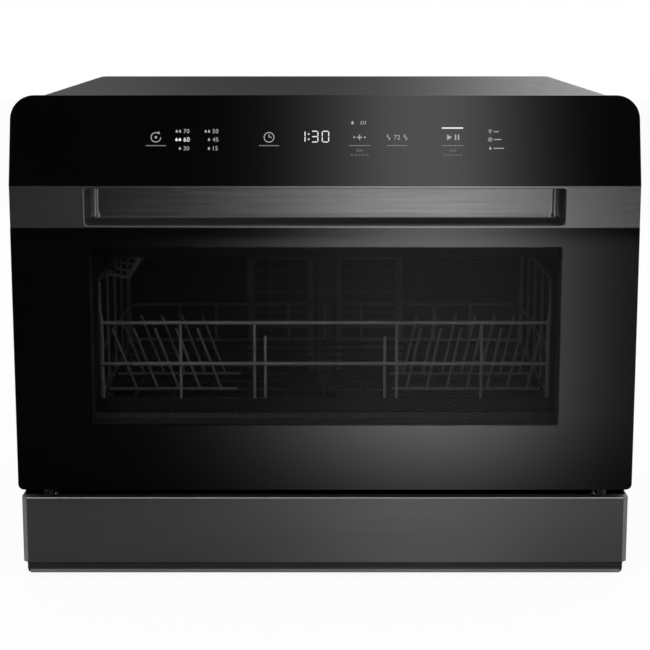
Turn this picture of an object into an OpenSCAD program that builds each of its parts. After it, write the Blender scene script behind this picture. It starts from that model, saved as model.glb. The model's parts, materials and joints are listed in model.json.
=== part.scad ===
// Countertop dishwasher with a drop-down windowed door and a pull-out dish rack.
// Millimetres. +Z is up, the front faces -Y, and the origin is on the worktop,
// under the middle of the machine.

/* [Cabinet] */
// Width over the side panels
body_w = 550; // [546:1:556]
// Depth from the front of the door to the end of the water inlet
body_d = 500; // [500:1:520]
// Height of the cabinet top over the worktop
cabinet_h = 436; // [434:1:437]
// Outer radius along the two top edges
cabinet_edge_r = 27; // [20:1:28]
// Sheet thickness of the outer wrap
wrap_t = 0.9; // [0.8:0.1:1.2]
// Height of the feet
foot_h = 7; // [6:0.5:8]

/* [Kick panel] */
// Top of the kick panel over the worktop
kick_top = 77; // [74:1:78]
// How far the kick panel stands behind the door
kick_recess = 13; // [12:1:14]
// Width of the bevel down each side of the kick panel
kick_bevel = 4.5; // [3:0.5:6]

/* [Door] */
// Underside of the door over the worktop
door_bottom = 88; // [87:0.5:89]
// Thickness of the door over its inner liner
door_t = 36; // [35:0.5:37]
// Thickness of the front glass
glass_t = 4; // [3:0.5:4.5]
// Top edge of the front glass
glass_top = 324; // [323:1:325]
// Height of the metal band that holds the handle
band_h = 37; // [36:1:38]
// Height of the leaning control panel
fascia_h = 77; // [74:1:77]
// Lean of the control panel
fascia_lean = 16.5; // [14:0.5:18]
// Radius of the control panel's top corners
fascia_corner_r = 20; // [14:1:24]
// Width of the window in the door
window_w = 416; // [400:1:418]
// Lower edge of the window over the worktop
window_bottom = 147; // [146:0.5:149]
// Upper edge of the window over the worktop
window_top = 307.5; // [302:0.5:309]

/* [Handle pocket] */
// Width of the pocket in the band
pocket_w = 419; // [400:1:419]
// Depth of the pocket
pocket_d = 28; // [24:1:28]
// Draft of each end wall from front to back
pocket_draft = 6; // [2:1:8]

/* [Hinge] */
// Distance of the hinge axis behind the front of the door
pivot_back = 14; // [13.5:0.5:14.5]
// Height of the hinge axis over the worktop
pivot_z = 97; // [96.5:0.5:97.5]
// Radius of the hinge pins
pin_r = 3; // [2.5:0.5:3]

/* [Tub] */
// Inside width of the tub
tub_w = 464; // [460:1:464]
// Top of the tub floor over the worktop
tub_floor_z = 99.2; // [99.2:0.1:99.6]
// Underside of the tub ceiling over the worktop
tub_top_z = 412; // [408:1:413]
// Thickness of the tub sheet
tub_t = 1.2; // [0.8:0.1:1.4]

/* [Rack] */
// Width of the rack over its side wires
rack_w = 432; // [430:1:432]
// Depth of the rack
rack_d = 330; // [320:1:330]
// Height of the front rim wire
rim_z = 229; // [224:1:234]
// Height of the middle wire
mid_z = 190.7; // [186:0.5:195]
// Radius of the rim wires
rim_r = 1.7; // [1.5:0.1:1.9]
// Radius of the lighter wires
wire_r = 1.4; // [1.3:0.05:1.5]
// Radius of the rack wheels
wheel_r = 12; // [11:0.5:12]
// Height of the tine tips
tine_top = 212; // [200:1:220]

/* [Spray arms] */
// Reach of the lower spray arm from its hub
lower_reach = 162; // [150:2:164]
// Reach of the upper spray arm from its hub
upper_reach = 150; // [120:5:165]

/* [Services] */
// Outer radius of the threaded water inlet
inlet_r = 13.2; // [12.5:0.1:13.2]
// Outer radius of the drain spout
drain_r = 9.5; // [9:0.5:10.5]
// Radius of the hole for the mains lead
lead_r = 4; // [3:0.5:4.5]

/* [Hidden] */

$fn = 48;
eps = 0.01;

half_w = body_w / 2;
front_y = -body_d / 2;
rear_y = body_d / 2;
door_back = front_y + door_t;
glass_back = front_y + glass_t;
band_top = glass_top + band_h;
fascia_top = band_top + fascia_h;
lean_run = fascia_h * tan(fascia_lean);
pivot_y = front_y + pivot_back;
kick_y = front_y + kick_recess;

// Planes along the depth of the cabinet
wrap_front = door_back + 2;
wrap_rear = rear_y - 12;
frame_front = door_back + 5;
frame_back = frame_front + 1.5;
rear_sheet_t = 1.2;
rear_inner = wrap_rear - 2;
tub_rear = rear_inner - 61;
tub_mid_y = -18;
feed_y = tub_rear - 16.3;

// Corner radii and clear zones
tub_r = 28;
half_tub = tub_w / 2;
hinge_x0 = 244;
hinge_x1 = 266;
arm_x = 250;
arm_t = 3;
bracket_x = 256;
eye_r = 6.5;
tail_offset = 18;

// Rack places
rack_front = front_y + 60;
rack_back = rack_front + rack_d;
half_rack = rack_w / 2;
rack_base_z = 152;
rack_nose_z = 156;
side_rim_z = 260;
rail_top = 119.7;
axle_z = rail_top + 0.3 + wheel_r;
shelf_axis_x = -206;
shelf_axis_z = 264;
front_axle_y = -98;
rear_axle_y = 92;
weld = 0.2;
floor_low_z = rack_base_z - 2 * wire_r;
floor_high_z = floor_low_z + 2 * wire_r - weld;
tine_foot_z = floor_high_z + 2 * wire_r - weld;
inner_glass_z = 152.4;

// Coil of each door spring
spring_turns = 17;
spring_steps = 8;
spring_mean_r = 3.2;
spring_wire_r = 0.75;

// Places of the services along the rear panel
inlet_x = 190;
drain_x = 140;
gland_x = -190;
service_z = 50;

// Sump places
sump_x = 30;
sump_r = 64;
filter_x = 64;

function arc(cx, cy, r, a0, a1, n = 8) =
    [for (i = [0:n]) let (a = a0 + (a1 - a0) * i / n) [cx + r * cos(a), cy + r * sin(a)]];

function soft_rect(x0, y0, x1, y1, r, n = 6) = concat(
    arc(x1 - r, y0 + r, r, -90, 0, n),
    arc(x1 - r, y1 - r, r, 0, 90, n),
    arc(x0 + r, y1 - r, r, 90, 180, n),
    arc(x0 + r, y0 + r, r, 180, 270, n));

// Outline with round top corners and square feet, as a cabinet seen from the front
function arch(half, z0, z1, r, n = 10) = concat(
    [[half, z0]],
    arc(half - r, z1 - r, r, 0, 90, n),
    arc(r - half, z1 - r, r, 90, 180, n),
    [[-half, z0]]);

// The same outline as a strip of width t, open at the foot
function arch_strip(half, z0, z1, r, t, n = 10) = concat(
    arch(half, z0, z1, r, n),
    reverse(arch(half - t, z0, z1 - t, r - t, n)));

function reverse(list) = [for (i = [len(list) - 1:-1:0]) list[i]];

module along_x(x0, x1) {
    translate([x0, 0, 0]) rotate([90, 0, 90]) linear_extrude(x1 - x0) children();
}

module along_y(y0, y1) {
    translate([0, y1, 0]) rotate([90, 0, 0]) linear_extrude(y1 - y0) children();
}

module along_z(z0, z1) {
    translate([0, 0, z0]) linear_extrude(z1 - z0) children();
}

module box(x0, y0, z0, x1, y1, z1) {
    translate([x0, y0, z0]) cube([x1 - x0, y1 - y0, z1 - z0]);
}

module rod_x(x0, x1, y, z, r) {
    translate([x0, y, z]) rotate([0, 90, 0]) cylinder(h = x1 - x0, r = r);
}

module rod_y(y0, y1, x, z, r) {
    translate([x, y1, z]) rotate([90, 0, 0]) cylinder(h = y1 - y0, r = r);
}

module rod_z(z0, z1, x, y, r) {
    translate([x, y, z0]) cylinder(h = z1 - z0, r = r);
}

// Straight wire between any two points
module wire(p, q, r) {
    d = q - p;
    run = norm(d);
    translate(p) rotate([0, acos(d.z / run), atan2(d.y, d.x)]) cylinder(h = run, r = r, $fn = 24);
}

// Places a left-hand piece, and its mirror image when side is 1
module handed(side) {
    if (side > 0) {
        children();
    } else {
        mirror([1, 0, 0]) children();
    }
}

// Cabinet

module cabinet_wrap() {
    foot_z = foot_h + 5;
    lip = 3.4;
    inner = half_w - wrap_t;
    outline = concat(
        [[half_w - lip, foot_z], [half_w, foot_z]],
        arc(half_w - cabinet_edge_r, cabinet_h - cabinet_edge_r, cabinet_edge_r, 0, 90, 12),
        arc(cabinet_edge_r - half_w, cabinet_h - cabinet_edge_r, cabinet_edge_r, 90, 180, 12),
        [[-half_w, foot_z], [lip - half_w, foot_z], [lip - half_w, foot_z + wrap_t]],
        [[-inner, foot_z + wrap_t]],
        arc(cabinet_edge_r - half_w, cabinet_h - cabinet_edge_r, cabinet_edge_r - wrap_t, 180, 90, 12),
        arc(half_w - cabinet_edge_r, cabinet_h - cabinet_edge_r, cabinet_edge_r - wrap_t, 90, 0, 12),
        [[inner, foot_z + wrap_t], [half_w - lip, foot_z + wrap_t]]);
    color("#2f3133") along_y(wrap_front, wrap_rear) polygon(outline);
}

module louvre(x, z, half) {
    hood_r = 4;
    difference() {
        rod_x(x - half, x + half, rear_inner + rear_sheet_t, z, hood_r);
        box(x - half - 1, rear_inner - 6, z - 6, x + half + 1, rear_inner + rear_sheet_t - 0.2, z + 6);
        box(x - half - 1, rear_inner - 6, z - 6, x + half + 1, wrap_rear + 6, z);
        rod_x(x - half + 1, x + half - 1, rear_inner + rear_sheet_t, z, hood_r - 1);
    }
}

module rear_panel() {
    inset = wrap_t + 0.1;
    slot_half = 45;
    rows = 7;
    pitch = 14;
    color("#8d9092") union() {
        difference() {
            along_y(rear_inner, rear_inner + rear_sheet_t)
                polygon(arch(half_w - inset, foot_h + 6, cabinet_h - inset, cabinet_edge_r - inset, 12));
            for (x = [-130, 130], i = [0:rows - 1])
                box(x - slot_half + 2, rear_inner - 1, 262 + i * pitch,
                    x + slot_half - 2, rear_inner + 3, 265 + i * pitch);
            rod_y(rear_inner - 5, rear_inner + 5, inlet_x, service_z, inlet_r + 1.5);
            rod_y(rear_inner - 5, rear_inner + 5, drain_x, service_z, drain_r + 1);
            rod_y(rear_inner - 5, rear_inner + 5, gland_x, service_z, 9);
        }
        for (x = [-130, 130], i = [0:rows - 1])
            louvre(x, 262 + i * pitch, slot_half);
        for (x = [-205, 205])
            box(x - 6, rear_inner + rear_sheet_t - eps, 110, x + 6, wrap_rear - 0.2, 400);
    }
}

module base_tray() {
    tray_w = half_w - 4;
    tray_front = kick_y + 7;
    tray_back = rear_inner - 0.5;
    floor_t = 2.5;
    wall_t = 2.5;
    wall_z = 46;
    bar_z = kick_top - 1.2;
    floor_z = foot_h + floor_t;
    color("#1d1e20") difference() {
        union() {
            box(-tray_w, tray_front, foot_h, tray_w, tray_back, floor_z);
            box(-tray_w, tray_front, floor_z - eps, wall_t - tray_w, tray_back, wall_z);
            box(tray_w - wall_t, tray_front, floor_z - eps, tray_w, tray_back, wall_z);
            box(wall_t - tray_w - eps, tray_back - wall_t, floor_z - eps,
                tray_w - wall_t + eps, tray_back, wall_z - 20);
            box(wall_t - tray_w - eps, tray_front, floor_z - eps,
                tray_w - wall_t + eps, tray_front + wall_t, bar_z);
            // Stiffening ribs over the floor
            for (x = [-215, -60, 60, 215])
                box(x - 1, tray_front + wall_t - eps, floor_z - eps,
                    x + 1, tray_back - wall_t + eps, floor_z + 5);
            for (y = [-104, 90, 175])
                box(wall_t - tray_w - eps, y - 1, floor_z - eps, tray_w - wall_t + eps, y + 1, floor_z + 4);
            // Cradle under the wash pump
            for (x = [-185, -120])
                box(x - 2, tub_mid_y - 26, floor_z - eps, x + 2, tub_mid_y + 26, 30);
            for (x = [-235, 235], y = [-198, 200])
                rod_z(floor_z - eps, 22, x, y, 9);
        }
        for (x = [-235, 235], y = [-198, 200])
            rod_z(foot_h - 1, 20, x, y, 4.2);
        rod_x(-190, -100, tub_mid_y, service_z, 30);
        // Cooling slots in the floor
        for (x = [-160:16:-112])
            box(x, 100, foot_h - 1, x + 6, 160, floor_z + 1);
    }
}

module kick_panel() {
    sheet = 1.2;
    side_back = wrap_front - 1;
    base_z = foot_h + 9;
    b = kick_bevel;
    outer = [
        [-half_w, side_back], [-half_w, kick_y + b], [b - half_w, kick_y],
        [half_w - b, kick_y], [half_w, kick_y + b], [half_w, side_back]
    ];
    inner = [
        [half_w - sheet, side_back], [half_w - sheet, kick_y + b + 0.5],
        [half_w - b - 0.5, kick_y + sheet], [b + 0.5 - half_w, kick_y + sheet],
        [sheet - half_w, kick_y + b + 0.5], [sheet - half_w, side_back]
    ];
    cap = [
        [-half_w, kick_y + b], [b - half_w, kick_y], [half_w - b, kick_y],
        [half_w, kick_y + b], [half_w, kick_y + 11], [-half_w, kick_y + 11]
    ];
    color("#46484b") union() {
        along_z(base_z, kick_top) polygon(concat(outer, inner));
        along_z(kick_top - sheet, kick_top) polygon(cap);
    }
}

module plinth_strip() {
    strip_half = half_w - 3;
    top_z = foot_h + 9;
    back_y = kick_y + 7;
    profile = concat(
        [[back_y, foot_h], [kick_y + 2, foot_h]],
        arc(kick_y + 1.6, foot_h + 1.6, 1.6, 250, 180, 4),
        [[kick_y, foot_h + 4.2]],
        arc(kick_y + 0.6, top_z + 0.4, 4.4, 262, 290, 3),
        [[kick_y + 3.2, top_z], [back_y, top_z]]);
    outline = [
        [-strip_half, top_z + 1], [2 - strip_half, foot_h - 1],
        [strip_half - 2, foot_h - 1], [strip_half, top_z + 1]
    ];
    color("#5a5c5f") intersection() {
        along_x(-half_w, half_w) polygon(profile);
        along_y(kick_y - 5, back_y + 5) polygon(outline);
    }
}

module front_frame() {
    inset = wrap_t + 0.3;
    mouth = arch(half_tub, tub_floor_z + 1, tub_top_z, tub_r);
    color("#9a9da0") difference() {
        along_y(frame_front, frame_back)
            polygon(arch(half_w - inset, kick_top + 1, cabinet_h - inset, cabinet_edge_r - inset, 12));
        along_y(frame_front - 1, frame_back + 1) polygon(mouth);
        for (s = [-1, 1])
            handed(s) box(hinge_x0, frame_front - 1, kick_top, hinge_x1, frame_back + 1, 132);
        box(-10, frame_front - 1, tub_top_z + 4, 10, frame_back + 1, tub_top_z + 18);
    }
}

module tub_shell() {
    color("#a9acae") along_y(frame_back, tub_rear)
        polygon(arch_strip(half_tub + tub_t, tub_floor_z - 4, tub_top_z + tub_t, tub_r + tub_t, tub_t));
}

// Back wall of the tub with its pressed centre panel
module tub_back() {
    panel_half = 87.5;
    press = 4;
    recess_out = 78;
    recess_in = 19.5;
    color("#a2a5a8") difference() {
        union() {
            along_y(tub_rear, tub_rear + tub_t)
                polygon(arch(half_tub + tub_t, tub_floor_z - 4, tub_top_z + tub_t, tub_r + tub_t));
            along_y(tub_rear - press, tub_rear + eps)
                polygon(soft_rect(-panel_half, tub_floor_z + 9, panel_half, 318, 8));
        }
        for (s = [-1, 1])
            handed(s) {
                along_y(tub_rear - press - 1, tub_rear)
                    polygon(soft_rect(recess_in, 168, recess_out, 236, 4));
                along_y(tub_rear - press - 1, tub_rear)
                    polygon(soft_rect(recess_in, 116, recess_out, 158, 4));
                along_y(tub_rear - press - 1, tub_rear)
                    polygon(soft_rect(recess_in, 246, recess_out, 308, 4));
            }
    }
}

module tub_floor() {
    sheet = tub_t;
    seat = 3;
    top_z = tub_floor_z;
    color("#a9acae") difference() {
        union() {
            along_x(-half_tub, half_tub) polygon([
                [frame_back, top_z - sheet], [frame_back, top_z], [tub_rear, top_z],
                [tub_rear, top_z - sheet]
            ]);
            // Raised border that turns the water inwards
            along_x(-half_tub, half_tub) polygon([
                [tub_rear, top_z - eps], [tub_rear, top_z + 8], [tub_rear - 3, top_z + 8],
                [tub_rear - 11, top_z - eps]
            ]);
            for (s = [-1, 1])
                handed(s) along_y(frame_back, tub_rear) polygon([
                    [half_tub, top_z - eps], [half_tub, top_z + 12], [half_tub - 2, top_z + 12],
                    [half_tub - 14, top_z - eps]
                ]);
            // Guide stem of the water float
            rod_z(top_z - eps, top_z + 24, 186, -172, 3);
        }
        rod_z(top_z, top_z + 9, 0, feed_y, 9.1);
        rod_z(top_z - 9, top_z + 9, sump_x, tub_mid_y, sump_r + seat);
    }
}

module tub_gasket() {
    lip = 5;
    gap = 1.5;
    half = half_tub + gap + lip;
    color("#151617") along_y(door_back + 0.4, frame_front)
        polygon(arch_strip(half, tub_floor_z + 5, tub_top_z + gap + lip, tub_r + gap + lip, lip));
}

module rack_rail() {
    rail_in = 219;
    rail_front = frame_back + 4;
    rail_end = tub_rear - 12;
    color("#c4c6c8") difference() {
        union() {
            box(rail_in, rail_front, rail_top - 3, half_tub, rail_end, rail_top);
            box(rail_in, rail_front, rail_top - 3, rail_in + 2, rail_end, rail_top + 2.5);
            box(rail_in, rail_end - 4, rail_top - 3, half_tub, rail_end, rail_top + 14);
            for (y = [-160:60:140])
                box(half_tub - 3, y - 6, rail_top - 7, half_tub, y + 6, rail_top);
        }
        for (y = [-180:30:130])
            box(rail_in + 4, y, rail_top - 4, half_tub - 4, y + 14, rail_top + 1);
    }
}

module rack_rail_left() {
    handed(-1) rack_rail();
}

module rack_rail_right() {
    handed(1) rack_rail();
}

// Hinges

// Side plate with the hinge pin, and the peg that the door spring pulls on
module hinge_bracket() {
    base_z = foot_h + 2.5;
    thick = 3;
    plate = [
        [pivot_y, pivot_z - 5.5], [-206, pivot_z - 5.5], [-206, base_z], [-112, base_z],
        [-112, 42], [-140, 58], [-176, pivot_z + 5.5], [pivot_y, pivot_z + 5.5]
    ];
    color("#b9bcbf") difference() {
        union() {
            along_x(bracket_x, bracket_x + thick) polygon(plate);
            rod_x(bracket_x, bracket_x + thick, pivot_y, pivot_z, eye_r);
            box(bracket_x - 10, -200, base_z, bracket_x + thick, -118, base_z + 2);
            rod_x(bracket_x - 9, bracket_x + thick - 1, pivot_y, pivot_z, pin_r);
            rod_x(bracket_x - 9.5, bracket_x - 8, pivot_y, pivot_z, pin_r + 1.5);
            rod_x(bracket_x - 9, bracket_x + 1, -122, 35, 2);
        }
        along_x(bracket_x - 1, bracket_x + thick + 1)
            polygon(soft_rect(-192, 28, -160, 74, 6));
        for (y = [-186, -134])
            rod_z(base_z - 1, base_z + 4, bracket_x - 5, y, 2);
    }
}

module hinge_bracket_left() {
    handed(-1) hinge_bracket();
}

module hinge_bracket_right() {
    handed(1) hinge_bracket();
}

// Arm inside the door, with a tail behind the hinge pin for the spring
module hinge_arm() {
    tail_r = 4;
    top_z = 232;
    color("#b9bcbf") difference() {
        union() {
            rod_x(arm_x, arm_x + arm_t, pivot_y, pivot_z, eye_r);
            along_x(arm_x, arm_x + arm_t) polygon([
                [pivot_y - 5.5, pivot_z], [pivot_y + 5.5, pivot_z], [pivot_y + 11, pivot_z + 30],
                [pivot_y + 11, top_z], [pivot_y + 1, top_z], [pivot_y - 5.5, top_z - 12]
            ]);
            translate([arm_x, pivot_y, pivot_z]) rotate([-45, 0, 0])
                box(0, 0, -3.6, arm_t, tail_offset * sqrt(2), 3.6);
            rod_x(arm_x, arm_x + arm_t, pivot_y + tail_offset, pivot_z - tail_offset, tail_r);
        }
        rod_x(arm_x - 1, arm_x + arm_t + 1, pivot_y, pivot_z, pin_r + 0.05);
        rod_x(arm_x - 1, arm_x + arm_t + 1, pivot_y + tail_offset, pivot_z - tail_offset, 2);
        for (z = [150, 210])
            rod_x(arm_x - 1, arm_x + arm_t + 1, pivot_y + 2, z, 2);
    }
}

module hinge_arm_left() {
    handed(-1) hinge_arm();
}

module hinge_arm_right() {
    handed(1) hinge_arm();
}

// Tube swept along a list of points, every ring square to the run
module swept_tube(path, r, sides) {
    last = len(path) - 1;
    function heading(i) =
        let (a = path[max(i - 1, 0)], b = path[min(i + 1, last)]) (b - a) / norm(b - a);
    function ring(i) =
        let (t = heading(i),
             u0 = cross(t, abs(t.x) < 0.9 ? [1, 0, 0] : [0, 1, 0]),
             u = u0 / norm(u0),
             v = cross(t, u))
        [for (k = [0:sides - 1]) let (a = 360 * k / sides) path[i] + r * (cos(a) * u + sin(a) * v)];
    points = [for (i = [0:last]) each ring(i)];
    walls = [for (i = [0:last - 1], k = [0:sides - 1])
        let (k2 = (k + 1) % sides, a = i * sides, b = (i + 1) * sides)
        each [[a + k, b + k, b + k2], [a + k, b + k2, a + k2]]];
    first_cap = [for (k = [1:sides - 2]) [0, k, k + 1]];
    end_cap = [for (k = [1:sides - 2]) [last * sides, last * sides + k + 1, last * sides + k]];
    polyhedron(points, concat(walls, first_cap, end_cap));
}

// Pull spring between the peg on the bracket and the tail of the arm
module door_spring() {
    x = arm_x + arm_t / 2;
    from = [x, -122, 35];
    to = [x, pivot_y + 27, pivot_z - 22];
    run = to - from;
    length = norm(run);
    dir = run / length;
    side = [1, 0, 0];
    up = cross(dir, side);
    loop_r = 2.95;
    start = loop_r + 3;
    active = length - 2 * start;
    total = spring_turns * spring_steps;
    coil = [for (i = [0:total]) let (a = 360 * i / spring_steps)
        from + dir * (start + active * i / total) + spring_mean_r * (cos(a) * up + sin(a) * side)];
    lead_in = [for (i = [0:3]) from + dir * (loop_r + i * 0.8) + up * (spring_mean_r * i / 4)];
    lead_out = [for (i = [3:-1:0]) to - dir * (loop_r + i * 0.8) + up * (spring_mean_r * i / 4)];
    eye_a = [for (i = [0:9]) let (a = 35 + 325 * i / 9) from + loop_r * (cos(a) * dir + sin(a) * up)];
    eye_b = [for (i = [0:9]) let (a = 325 * i / 9) to - loop_r * (cos(a) * dir - sin(a) * up)];
    color("#c9cbcd") swept_tube(concat(eye_a, lead_in, coil, lead_out, eye_b), spring_wire_r, 6);
}

module door_spring_left() {
    handed(-1) door_spring();
}

module door_spring_right() {
    handed(1) door_spring();
}

module latch_hook() {
    z0 = tub_top_z + 9;
    root_y = door_back;
    tip_y = door_back + 19;
    color("#c9cbcd") along_x(-5, 5) polygon([
        [root_y - 9, z0 - 4], [root_y - 1.2, z0 - 4], [root_y - 1.2, z0], [tip_y - 6, z0],
        [tip_y - 5, z0 - 1.6], [tip_y - 1, z0 - 1.6], [tip_y, z0 + 1], [tip_y - 3, z0 + 4],
        [root_y - 1.2, z0 + 4], [root_y - 1.2, z0 + 7], [root_y - 9, z0 + 7]
    ]);
}

// Spring clip over the tub that the door hook snaps into
module latch_catch() {
    y0 = frame_back;
    z0 = tub_top_z + tub_t;
    color("#c9cbcd") difference() {
        union() {
            box(-20, y0, z0, 20, y0 + 26, z0 + 1.2);
            for (s = [-1, 1])
                handed(s) along_z(z0 + 1, z0 + 18) polygon([
                    [9, y0 + 26], [8, y0 + 18], [6.2, y0 + 13], [8, y0 + 5], [9.2, y0 + 5],
                    [7.4, y0 + 13], [9.2, y0 + 18], [10.2, y0 + 26]
                ]);
        }
        for (x = [-15, 15])
            rod_z(z0 - 1, z0 + 3, x, y0 + 13, 1.7);
    }
}

// Water parts

module sump() {
    floor_z = 42;
    top_z = tub_floor_z - tub_t;
    wall = 2.4;
    color("#26282a") difference() {
        union() {
            rod_z(floor_z, top_z, sump_x, tub_mid_y, sump_r);
            rod_z(top_z - 2, top_z, sump_x, tub_mid_y, sump_r + 8);
            rod_x(sump_x - sump_r - 12, sump_x, tub_mid_y, service_z + 8, 10);
            rod_x(sump_x, sump_x + sump_r + 12, tub_mid_y, service_z + 8, 8);
        }
        rod_z(floor_z + wall, top_z + 1, sump_x, tub_mid_y, sump_r - wall);
        rod_x(sump_x - sump_r - 13, sump_x - sump_r + 5, tub_mid_y, service_z + 8, 8);
        rod_x(sump_x + sump_r - 5, sump_x + sump_r + 13, tub_mid_y, service_z + 8, 6);
    }
    // Riser that feeds and carries the lower spray arm
    color("#26282a") difference() {
        union() {
            rod_z(floor_z + wall - eps, tub_floor_z + 4, 0, tub_mid_y, 14);
            rod_z(tub_floor_z, 121, 0, tub_mid_y, 9);
            rod_z(120.6, 124, 0, tub_mid_y, 11.5);
        }
        rod_z(floor_z + wall + 4, 119, 0, tub_mid_y, 7);
        for (a = [0:60:300])
            translate([0, tub_mid_y, 112]) rotate([0, 90, a]) cylinder(h = 12, r = 2, $fn = 16);
    }
}

module filter_plate() {
    z0 = tub_floor_z;
    plate_r = sump_r + 7;
    color("#b4b7ba") difference() {
        rod_z(z0, z0 + 1.2, sump_x, tub_mid_y, plate_r);
        rod_z(z0 - 1, z0 + 3, 0, tub_mid_y, 14.3);
        rod_z(z0 - 1, z0 + 3, filter_x, tub_mid_y, 24.3);
        for (x = [-18, -27], y = [-30:7.5:30])
            rod_z(z0 - 1, z0 + 3, x, tub_mid_y + y, 1.6, $fn = 16);
        for (x = [20, 29], y = [-52, -44, 44, 52])
            rod_z(z0 - 1, z0 + 3, x, tub_mid_y + y, 1.6, $fn = 16);
        for (x = [-6:9:57], y = [-38, -30, 30, 38])
            rod_z(z0 - 1, z0 + 3, x, tub_mid_y + y, 1.6, $fn = 16);
    }
}

module filter_cup() {
    z0 = 60;
    top_z = tub_floor_z + 1.2;
    wall_r = 23.5;
    color("#3a3d40") difference() {
        union() {
            rod_z(z0, top_z, filter_x, tub_mid_y, wall_r);
            rod_z(top_z, top_z + 2, filter_x, tub_mid_y, 27);
        }
        rod_z(z0 + 2, top_z + 3, filter_x, tub_mid_y, wall_r - 1.6);
        for (a = [0:30:330])
            translate([filter_x, tub_mid_y, z0 + 6]) rotate([0, 0, a])
                translate([wall_r - 4, -2.5, 0]) cube([6, 5, 28]);
    }
    color("#3a3d40") box(filter_x - 22.5, tub_mid_y - 1.2, top_z - 4,
        filter_x + 22.5, tub_mid_y + 1.2, top_z + 4);
}

module wash_pump() {
    z = service_z + 8;
    color("#4b4e52") difference() {
        union() {
            rod_x(-196, -100, tub_mid_y, service_z, 30);
            rod_x(-204, -195, tub_mid_y, service_z, 10);
            rod_x(-101, -66, tub_mid_y, z, 32);
            rod_x(-67, sump_x - sump_r - 5, tub_mid_y, z, 13);
            rod_y(tub_mid_y, tub_mid_y + 48, -84, z + 20, 9);
        }
        rod_x(-66 + eps, sump_x - sump_r - 4, tub_mid_y, z, 10.05);
        rod_y(tub_mid_y + 36, tub_mid_y + 49, -84, z + 20, 7);
    }
}

module heater() {
    x = -84;
    z = service_z + 28;
    color("#c2c4c6") union() {
        rod_y(tub_mid_y + 48, tub_mid_y + 60, x, z, 9);
        rod_y(tub_mid_y + 59, 150, x, z, 15);
        rod_y(149, 156, x, z, 17);
        for (dx = [-8, 8])
            rod_y(155, 166, x + dx, z, 2);
    }
}

module drain_pump() {
    z = service_z + 8;
    x0 = sump_x + sump_r + 5;
    color("#4b4e52") difference() {
        union() {
            rod_x(x0, x0 + 14, tub_mid_y, z, 11);
            rod_x(x0 + 12, x0 + 30, tub_mid_y, z, 24);
            rod_x(x0 + 29, x0 + 74, tub_mid_y, z, 19);
            rod_y(tub_mid_y, tub_mid_y + 40, drain_x - 20, z, 9);
        }
        rod_x(x0 - 1, x0 + 8, tub_mid_y, z, 8.05);
        rod_y(tub_mid_y + 28, tub_mid_y + 41, drain_x - 20, z, 7);
    }
}

// Ribbed hose from the drain pump to the spout
module drain_hose() {
    z0 = service_z + 8;
    y0 = tub_mid_y + 40;
    y1 = 214;
    x0 = drain_x - 20;
    bend = [for (i = [0:12]) let (t = i / 12, s = t * t * (3 - 2 * t))
        [x0 + (drain_x - x0) * s, y0 + 4 + (y1 - y0 - 8) * t, z0 + (service_z - z0) * s]];
    path = concat([[x0, y0, z0]], bend, [[drain_x, y1, service_z]]);
    color("#2a2b2d") swept_tube(path, 8, 12);
}

module drain_spout() {
    color("#2a2b2d") difference() {
        union() {
            rod_y(214, rear_y - 1, drain_x, service_z, drain_r);
            rod_y(228, rear_inner, drain_x, service_z, drain_r + 5);
        }
        rod_y(215, rear_y + 1, drain_x, service_z, drain_r - 2.5);
    }
}

module inlet_valve() {
    y0 = 196;
    color("#e4e4e0") difference() {
        union() {
            box(inlet_x - 16, y0, service_z - 16, inlet_x + 16, rear_inner, service_z + 16);
            rod_y(rear_inner - 1, rear_y, inlet_x, service_z, inlet_r);
            rod_z(service_z + 15, 108, inlet_x, y0 + 12, 6);
            rod_x(inlet_x, 241, y0 + 12, 108, 6);
            box(inlet_x - 12, y0 - 24, service_z - 12, inlet_x + 12, y0 + 1, service_z + 12);
        }
        rod_y(rear_inner + 2, rear_y + 1, inlet_x, service_z, inlet_r - 3.2);
    }
}

// Flat chamber between the tub and the side panel
module air_break_chamber() {
    x0 = half_tub + tub_t + 7.8;
    x1 = half_w - 9;
    color("#dfe1e2") difference() {
        union() {
            along_x(x0, x1) polygon(soft_rect(-60, 120, 165, 352, 14));
            rod_x(x0, x1, 196 + 12, 108, 10);
            box(x0 + 4, 150, 112, x1 - 4, 210, 132);
            // Pads that hold it off the tub
            for (p = [[-40, 150], [-40, 320], [140, 240]])
                rod_x(half_tub + tub_t, x0 + eps, p.x, p.y, 8);
        }
        along_x(x1 - 3, x1 + 1) polygon(soft_rect(-48, 140, 40, 336, 8));
        along_x(x1 - 3, x1 + 1) polygon(soft_rect(52, 140, 152, 336, 8));
        along_x(x0 - 1, x0 + 3) polygon(soft_rect(-48, 140, 152, 236, 8));
    }
}

// Feed to the upper spray arm, up the back wall and under the ceiling
module feed_pipe() {
    y = feed_y;
    z = tub_top_z - 9.5;
    color("#35383b") difference() {
        union() {
            rod_z(tub_floor_z, 200, 0, y, 8.8);
            rod_z(199, z, 0, y, 12);
            translate([0, y, 200]) sphere(r = 12.1);
            rod_y(tub_mid_y, y, 0, z, 8);
            translate([0, y, z]) sphere(r = 8.9);
            rod_z(tub_top_z - 16, z, 0, tub_mid_y, 12);
            rod_z(tub_top_z - 30, tub_top_z - 15, 0, tub_mid_y, 7);
            rod_z(tub_top_z - 32.2, tub_top_z - 29.2, 0, tub_mid_y, 10);
        }
        rod_z(tub_top_z - 27, tub_top_z - 12, 0, tub_mid_y, 5);
        for (a = [45:90:315])
            translate([0, tub_mid_y, tub_top_z - 23.4]) rotate([0, 90, a])
                cylinder(h = 12, r = 1.8, $fn = 16);
    }
}

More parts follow.
